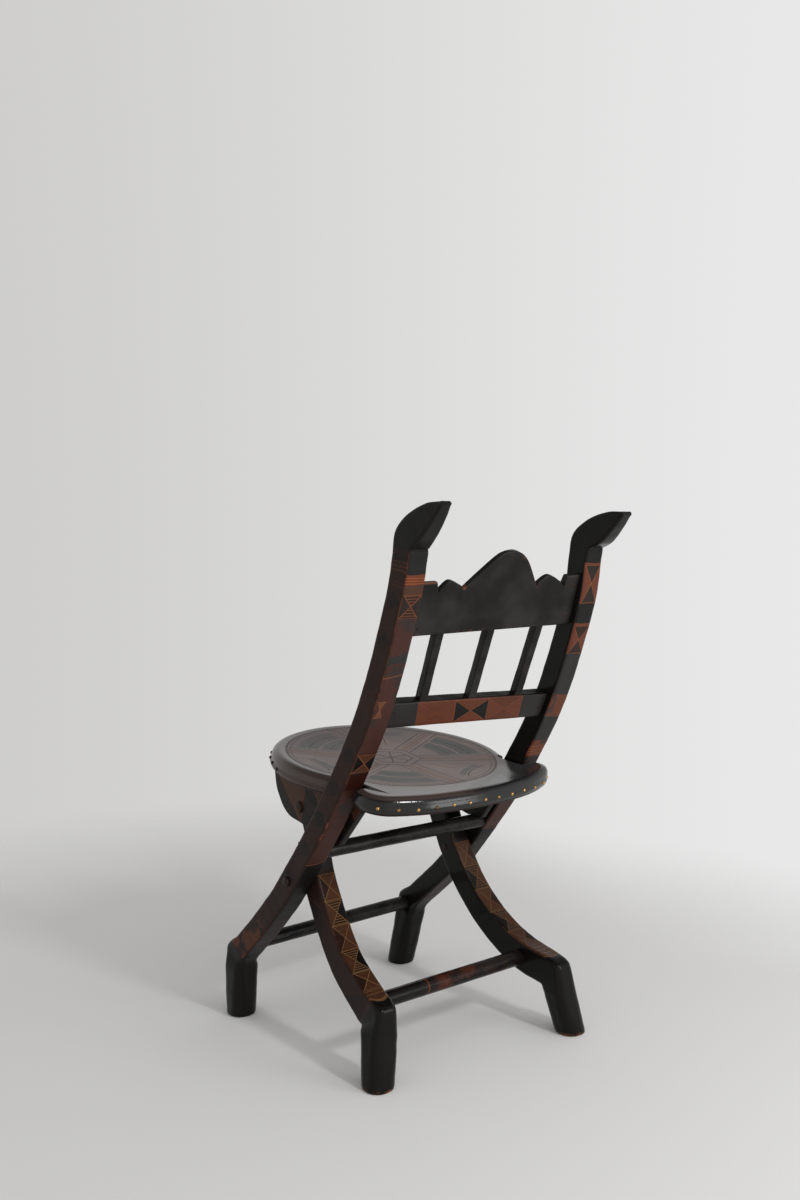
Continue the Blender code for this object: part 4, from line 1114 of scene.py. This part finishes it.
# The tooling round the seat's middle: cuts, stitches, tanned bands, stained panels, leaves, crescents
def toolingMarks(wires, x, y, far):
    t, sixth = tooling, math.pi / 3
    turn = wires.calc("ARCTAN2", y, x)
    dash = turn.wave(0.034).ease(0.30, 0.42)
    cut = wires.most(far.line(t["ring"], 0.0024, 0.0012) * dash,
                     far.line(t["ring"] - 0.007, 0.0011, 0.0004) * 0.6)
    disc = far.ease(t["ring"] + 0.001, t["ring"] - 0.001)
    inner = disc * far.ease(*t["hub"])
    stitches, tan = 0.0, 0.0
    for angle in t["bands"]:                       # distance from, and along, each stitched band
        c, s = math.cos(math.radians(angle)), math.sin(math.radians(angle))
        off, run = abs(x * -s + y * c), x * c + y * s
        lines = wires.most(off.ease(0.0014, 0.0007), off.line(t["stitch"] / 2, 0.0010, 0.0004))
        stitches = wires.most(stitches, lines * inner)
        tan = wires.most(tan, off.ease(t["stitch"] * 0.62, t["stitch"] * 0.5) * inner)
        edge = off.line(t["bandEdge"], 0.0016, 0.0008)
        cut = wires.most(cut, edge * inner * run.wave(0.0048).ease(0.3, 0.45))
    first = math.radians(t["bands"][0])
    sector = wires.calc("FLOORED_MODULO", turn - first, 2 * math.pi) / sixth
    inSector = wires.calc("FRACT", sector)
    second = wires.calc("FRACT", sector * 0.5).ease(0.501, 0.499)
    side = abs(inSector - 0.5) * far * sixth       # distance round from the sector's middle
    within = (far * 0.5 - side).ease(*t["panelSides"])
    panel = second * far.band(*t["panels"], 0.0008) * within
    stained = panel * (1 - far.band(*t["panelGap"], 0.0006))
    for row in t["panelRows"]:                     # dashed rows across the stained panels
        cut = wires.most(cut, panel * dash * far.line(row, 0.0012, 0.0005))
    edges = (far.band(at - 0.0005, at + 0.0005, 0.0005) for at in t["panelEdges"])
    cut = wires.most(cut, second * wires.most(*edges) * within * dash)
    plain = 1 - second
    bow = far + side * side * t["moonBend"]        # crescents: a bent band that thins to its tips
    moon = plain * bow.band(*t["moon"], 0.0008) * side.ease(0.036, 0.030)
    moonLine = plain * bow.line(t["moonLine"], 0.0012, 0.0005) * side.ease(0.040, 0.038)
    leafWide = t["leafWide"] - wires.calc("POWER", abs(far - t["leaf"]), 2.0) * t["leafTaper"]
    leaf = plain * (leafWide - side).ease(-0.0004, 0.0006)
    vein = leaf * side.ease(0.0012, 0.0004)
    cut = wires.most(cut, moonLine, vein, stitches * 0.9)
    flat = far * wires.calc("COSINE", (inSector - 0.5) * sixth)
    for size in t["hexagons"]:                     # hexagons round the middle
        cut = wires.most(cut, flat.line(size, 0.0012, 0.0005))
    spoke = side.ease(0.0013, 0.0005) * far.ease(0.031, 0.029)
    return wires.most(cut, spoke), stitches, tan, stained, leaf, moon


# A painted shadow: a dark wedge that narrows to a point, where the leather's edge lifts at the left notch;
# distance along it and aside from it, in the seat's plane
def notchShadowWedge(x, y):
    (startX, startY), (endX, endY), half = tooling["notchShadow"]
    long, wide = endX - startX, endY - startY
    reach = math.hypot(long, wide)
    x, y = x - startX, y - (startY - tooling["centreY"])
    run = (x * long + y * wide) / reach ** 2
    aside = abs((x * wide - y * long) / reach)
    return run.band(-0.3, 1.0, 0.01) * (aside - (1 - run) * half).ease(0.0004, -0.0004)


def leatherLook():
    look, wires, shader = newLook("tooled_leather", Specular_IOR_Level=0.45, Sheen_Weight=0.06,
                                  Sheen_Roughness=0.4)
    t, coords = leather, wires.coords()
    x, y, z = coords.stretch((1, 1, 1), (0.0, -tooling["centreY"], 0.0)).split()
    far = wires.calc("SQRT", x * x + y * y)
    cut, stitches, tan, stained, leaf, moon = toolingMarks(wires, x, y, far)
    cloud = coords.noise(13.0, 4.0, 0.6)
    pore = wires.out(wires.put("TexVoronoi", Vector=coords, Scale=520.0), "Distance")
    crease = coords.noise(75.0, 4.0, 0.6)
    pale = wires.mix((cloud + crease * 0.3).ease(0.45, 0.85), t["pale"], t["worn"])
    colour = wires.mix(tan * 0.55, pale, t["tan"])
    colour = wires.mix(leaf * 0.6, colour, t["tan"])
    colour = wires.mix(moon * 0.85, colour, t["stain"])
    colour = wires.mix(stained * cloud.ease(0.2, 0.5, 0.75, 0.97), colour, t["panel"])
    colour = wires.mix(cut * 0.92, colour, t["stain"])
    colour = wires.mix(stitches * 0.5, colour, t["tan"])
    rim = far.ease(tooling["ring"] + 0.001, tooling["ring"] + 0.004)
    level = z + y * t["tilt"]                      # height as if the seat lay flat
    roll = y.ease(*t["rearY"]) * level.ease(*t["rollTop"])
    rear = wires.most(roll, (y + x * t["cornerLean"]).ease(*t["corner"]))
    drop = level.ease(*t["dropTop"])
    border = wires.mix(rear, wires.mix(drop, t["rimBrown"], t["skirt"]), t["black"])
    outside = wires.most(rim, drop)
    # Painted shade: the seat's front is darkened towards the rim's brown, standing in for its weaker sheen
    # there
    front = y.ease(-0.02, -0.13)
    colour = wires.mix(front * 0.42, colour, t["rimBrown"])
    colour = wires.mix(outside, colour, border)
    # Painted shadow under the lifted leather edge at the left notch: dark, matte and pressed in
    notchShadow = notchShadowWedge(x, y)
    colour = wires.mix(notchShadow, colour, t["notchShadow"])
    scuff = coords.noise(34.0, 5.0, 0.7).ease(0.60, 0.72) * 0.25
    colour = wires.mix(scuff * (1 - outside), colour, t["worn"])
    gloss = 0.30 + cloud * 0.16 + crease * 0.08 + cut * 0.15
    gloss = wires.blend(outside * drop, gloss, 0.34 + cloud * 0.18)
    gloss = wires.blend(outside * rear, gloss, 0.07 + cloud * 0.18)
    gloss = wires.blend(rim * (1 - wires.most(rear, drop)), gloss, 0.12 + cloud * 0.12)
    gloss = wires.blend(notchShadow, gloss, 1.0)
    fine = wires.bump(pore * 0.35 + crease * 0.5 + cloud * 0.6, 0.0004, 0.5)
    press = cut * -1.0 + tan * 0.4 + stained * -0.35 + notchShadow * -2.0
    wires.give(shader, Base_Color=colour, Roughness=gloss, Normal=wires.bump(press, 0.0008, 0.9, fine))
    return look


cover = leatherPiece(leatherLook())
print("leather stretched")


# Small domes: each is a half round of rings on its own axis, closed under by a middle point
def domes(name, places, outward, radius, rise, look, sink=0.0008):
    places, outward, around = np.asarray(places, float), unit(outward), 10
    helper = np.where(np.abs(outward[:, 2:]) > 0.8, [[1.0, 0, 0]], [[0, 0, 1.0]])
    first = unit(np.cross(outward, helper))
    second = np.cross(outward, first)
    first, second, axis = (rows[:, None, None] for rows in (first, second, outward))
    tilt = np.concatenate([[np.pi / 2], np.linspace(np.pi / 2, 0.35, 4)])
    level = np.concatenate([[-sink], rise * np.cos(tilt[1:])])[:, None, None]
    spin = np.linspace(0, 2 * np.pi, around, endpoint=False)[:, None]
    ring = first * np.cos(spin) + second * np.sin(spin)
    points = places[:, None, None] + ring * (radius * np.sin(tilt))[:, None, None] + axis * level
    middles = np.stack([places + outward * rise, places - outward * sink], 1)
    block = np.concatenate([points.reshape(len(places), -1, 3), middles], 1)
    total = len(tilt) * around
    grid = np.arange(total).reshape(-1, around)
    quads, after = quadsOver(grid)
    cap = np.stack([grid[-1], after[-1], np.full(around, total)], 1)
    base = np.stack([after[0], grid[0], np.full(around, total + 1)], 1)
    faces = []
    for shift in range(0, len(places) * (total + 2), total + 2):
        for part in (quads, cap, base):
            faces += (part + shift).tolist()
    mesh = bpy.data.meshes.new(name)
    mesh.from_pydata(block.reshape(-1, 3).tolist(), [], faces)
    return addPiece(name, mesh, look, 60)


metal = {"brass": (0.52, 0.30, 0.10), "tarnish": (0.045, 0.028, 0.016), "iron": (0.030, 0.024, 0.021),
         "rust": (0.075, 0.030, 0.016)}


# Old metal: bright where handled, dark in the hollows
def metalLook(name, bright, dark, low, high, rough):
    look, wires, shader = newLook(name, Metallic=0.9)
    coords = wires.coords()
    patch = coords.noise(26.0, 3.0) * 0.7 + coords.noise(210.0, 3.0) * 0.3
    wires.give(shader, Base_Color=wires.mix(patch.ease(low, high), metal[dark], metal[bright]),
               Roughness=rough + patch * 0.25, Normal=wires.bump(coords.noise(330.0, 3.0), 0.0004, 0.5))
    return look


tackRow = {"spacing": 0.030, "drop": 0.0165, "loose": 0.0012, "notch": (-0.075, 0.132), "side": 0.135,
           "rear": {"from": 0.132, "radius": 0.0028, "rise": 0.0020},
           "front": {"radius": 0.0031, "rise": 0.0022}}


# Tacks at even steps round the skirt, left out at the notches
def tackPieces():
    outline = seatOutline(720)
    reach = runLength(np.vstack([outline, outline[:1]]))[1:]
    count = int(reach[-1] / tackRow["spacing"])
    pick = np.searchsorted(reach, (np.arange(count) + 0.5) * reach[-1] / count)
    x, y = outline[pick].T
    low, high = tackRow["notch"]
    pick = pick[~((np.abs(x) > tackRow["side"]) & (y > low) & (y < high))]
    ahead = np.roll(outline, -2, 0)[pick] - np.roll(outline, 2, 0)[pick]
    draw = np.random.default_rng(31)
    down = tackRow["drop"] + draw.uniform(-tackRow["loose"], tackRow["loose"], len(pick))
    out = unit(np.column_stack([ahead[:, 1], -ahead[:, 0], np.zeros(len(pick))]))
    spots = curled(np.column_stack([outline[pick], -down]) + out * swell(down)[:, None])
    atRear = outline[pick][:, 1] > tackRow["rear"]["from"]
    spots, out = seatPlace(spots), seatPlace(out) - seatPlace(np.zeros((1, 3)))
    # Painted light: the rear tacks get bright brass and the front tacks dark tarnish, the same tacks drawn
    # lit at the rear and shaded at the front
    looks = {"rear": metalLook("lit_brass", "brass", "tarnish", 0.30, 0.46, 0.16),
             "front": metalLook("shaded_brass", "tarnish", "iron", 0.40, 0.62, 0.24)}
    for part, here in (("rear", atRear), ("front", ~atRear)):
        size = tackRow[part]["radius"], tackRow[part]["rise"]
        fit(domes(part + "_tacks", spots[here], out[here], *size, looks[part]), "seat", "iron")


tackPieces()


# Nails that hold the rails to the posts, on the rails' rear faces
nails = {"radius": 0.0023, "rise": 0.0010,
         "crest": ((0.134, 0.012), (0.137, 0.060), (-0.136, 0.016), (-0.139, 0.064)),
         "rail": ((0.140, 0.006), (-0.143, -0.004))}


def nailPiece():
    spots, out = [], []
    for places, frameAt, thick in ((nails["crest"], upperFrame, crest["thick"]),
                                   (nails["rail"], lowerFrame, rail["thick"])):
        middle, x, up, rear = frameAt
        for u, v in places:
            spots.append(middle + x * u + up * v + rear * thick / 2)
            out.append(rear)
    look = metalLook("nail_iron", "rust", "iron", 0.45, 0.62, 0.35)
    piece = domes("rail_nails", spots, out, nails["radius"], nails["rise"], look)
    return fit(piece, "back_frame", "iron")


nailPiece()
print("tacks and nails driven")


# Bolts: a hammered head turned about the side's axis, with its shank and burred end
boltSet = {"cross": {"body": "leg_frame", "reach": 0.0, "height": 0.262, "shank": 0.005, "head": 0.0085},
           "seat": {"body": "seat", "reach": -0.035, "height": 0.36597, "shank": 0.005, "head": 0.010}}
boltShape = {"rise": 0.004, "dome": 0.86, "burr": (0.0012, 0.0004), "around": 32,
             "wobble": (0.05, 0.03)}


def boltPiece(kind, side, look, seed):
    plan, shape, sign, node = boltSet[kind], boltShape, sideSign[side], kind + "_bolt_" + side
    low, high = (np.array(corner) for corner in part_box(node))
    tip, end = (high[0], low[0]) if sign > 0 else (low[0], high[0])
    rise, head, shank, length = shape["rise"], plan["head"], plan["shank"], abs(tip - end)
    turn = np.linspace(0.06, np.pi / 2, 12)
    rim = [head, head * 0.97]
    stem = [shank, shank, shank * 0.9, shank * 0.6]
    radius = np.concatenate([head * np.sin(turn) ** 0.8, rim, stem])
    burr = [length - cut for cut in shape["burr"]]
    depth = np.concatenate([rise * (1 - np.cos(turn)) * shape["dome"], [rise * 0.95, rise, rise], burr,
                            [length]])
    spin = np.linspace(0, 2 * np.pi, shape["around"], endpoint=False)
    draw = np.random.default_rng(seed)
    wobble = 1.0
    for size, lobes in zip(shape["wobble"], (3, 5)):            # the head is a little out of round
        wobble = wobble + size * np.sin(lobes * spin + draw.uniform(0, 6))
    hammered = (np.arange(len(depth)) < len(turn) + len(rim))[:, None]
    radius = radius[:, None] * np.where(hammered, wobble / wobble.max(), 1.0)
    x = np.broadcast_to((tip - sign * depth)[:, None], radius.shape)
    y, z = crossing["y"] + plan["reach"], plan["height"]
    rings = np.stack([x, y + radius * np.cos(spin), z + radius * np.sin(spin)], -1)
    return fit(skinOver(node + "_forged", rings, depth, look), plan["body"], "iron", node)


ironLook = metalLook("forged_iron", "rust", "iron", 0.50, 0.68, 0.34)
for seed, (kind, side) in enumerate(((k, s) for k in boltSet for s in sideSign)):
    boltPiece(kind, side, ironLook, 40 + seed)
print("bolts forged")


# Cheeks: boards with a scroll at the front, a hook over the rest rod and a tail, hung under the seat
# board; brown with black triangles, dark along their edges
cheek = {"outer": 0.1533, "thick": 0.013, "edge": 0.0018, "front": -0.108, "rear": 0.133,
         "board": 0.0288, "scroll": ((-0.102, 0.0336), (-0.092, 0.0516), (-0.080, 0.0653), (-0.062, 0.0744),
                                      (-0.031, 0.0771)),
         "hook": (118.0, 38.0), "hookRadius": 0.0126, "tail": (0.025, 0.011), "heel": (0.121, 0.0192),
         "around": 420}
cheekPaint = {"length": 0.086, "low": 0.335, "high": 0.425, "slant": 0.35}


# A point that hangs a given drop under the seat board
def hung(reach, drop):
    tilt = math.radians(seat["tiltDeg"])
    level = seat["height"] - cheek["board"] / math.cos(tilt) - math.tan(tilt) * (reach - seat["reach"])
    return crossing["y"] + reach, level - drop


def cheekOutline(sign):
    left, right = rodEnds("rest_rod")
    rod = right[1:] + (left - right)[1:] * (1 + sign * cheek["outer"] / left[0]) / 2
    angle = np.radians(np.linspace(*cheek["hook"], 25))
    hook = rod + cheek["hookRadius"] * np.stack([np.cos(angle), np.sin(angle)], 1)
    scroll = [hung(cheek["front"], 0.0)] + [hung(*point) for point in cheek["scroll"]] + [hook[0]]
    back = [rod + cheek["tail"], hung(*cheek["heel"]), hung(cheek["rear"], 0.0)]
    whole = np.vstack([curveThrough(scroll, 10), hook[1:], back, scroll[:1]])
    return evenOutline(whole, cheek["around"])


# The outline carried through the board's thickness, with a quarter round at both faces
def cheekPiece(side, look):
    sign, edge, half = sideSign[side], cheek["edge"], cheek["thick"] / 2
    outline = cheekOutline(sign)
    turn = np.linspace(0, np.pi / 2, 5)
    inset = edge * (1 - np.sin(turn))
    level = edge * (1 - np.cos(turn)) - half
    inset, level = np.concatenate([inset, inset[::-1]]), np.concatenate([level, -level[::-1]])
    x = sign * (cheek["outer"] - half + level)
    rings = np.stack([np.column_stack([np.full(len(outline), at), insetBy(outline, by)])
                      for at, by in zip(x, inset)])
    piece = skinOver("cheek_" + side + "_board", rings, level, look, True)
    return fit(piece, "seat", "brown_wood", "cheek_" + side)


def cheekLook():
    look, wires, shader, coords = woodLook("painted_cheek")[:4]
    x, y, z = coords.split()
    half, plan = cheek["thick"] / 2, cheekPaint
    face = abs(x).line(cheek["outer"] - half, half - 0.0012, half - 0.0004)
    across = (z - (plan["low"] + plan["high"]) / 2) / ((plan["high"] - plan["low"]) / 2)
    above, cut = zigzag(y + z * plan["slant"], across, plan["length"], 0.035)
    shaky = coords.noise(30.0, 2.0).ease(0.3, 0.5, 0.6, 1.0)
    colour = wires.mix(above * shaky, paint["umber"], paint["black"])
    colour = wires.mix(face, paint["black"], colour)
    groove = cut * face * 0.6
    colour = wires.mix(groove * 0.4, colour, paint["cut"])
    woodSkin(wires, shader, colour, "cheek", groove, 0.0, 0.42)
    return look


def dress(node, look):
    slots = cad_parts[node].data.materials
    slots.clear()
    slots.append(look)


cheekFinish = cheekLook()
boardFinish = lacquerLook("seat_board_stain", "board", 0.42, "warm", "outer")
washerFinish = metalLook("washer_iron", "rust", "iron", 0.42, 0.62, 0.40)
dress("seat_board", boardFinish)
for side in sideSign:
    cheekPiece(side, cheekFinish)
    for kind in boltSet:
        dress(kind + "_washer_" + side, washerFinish)
print("carried-over nodes finished")
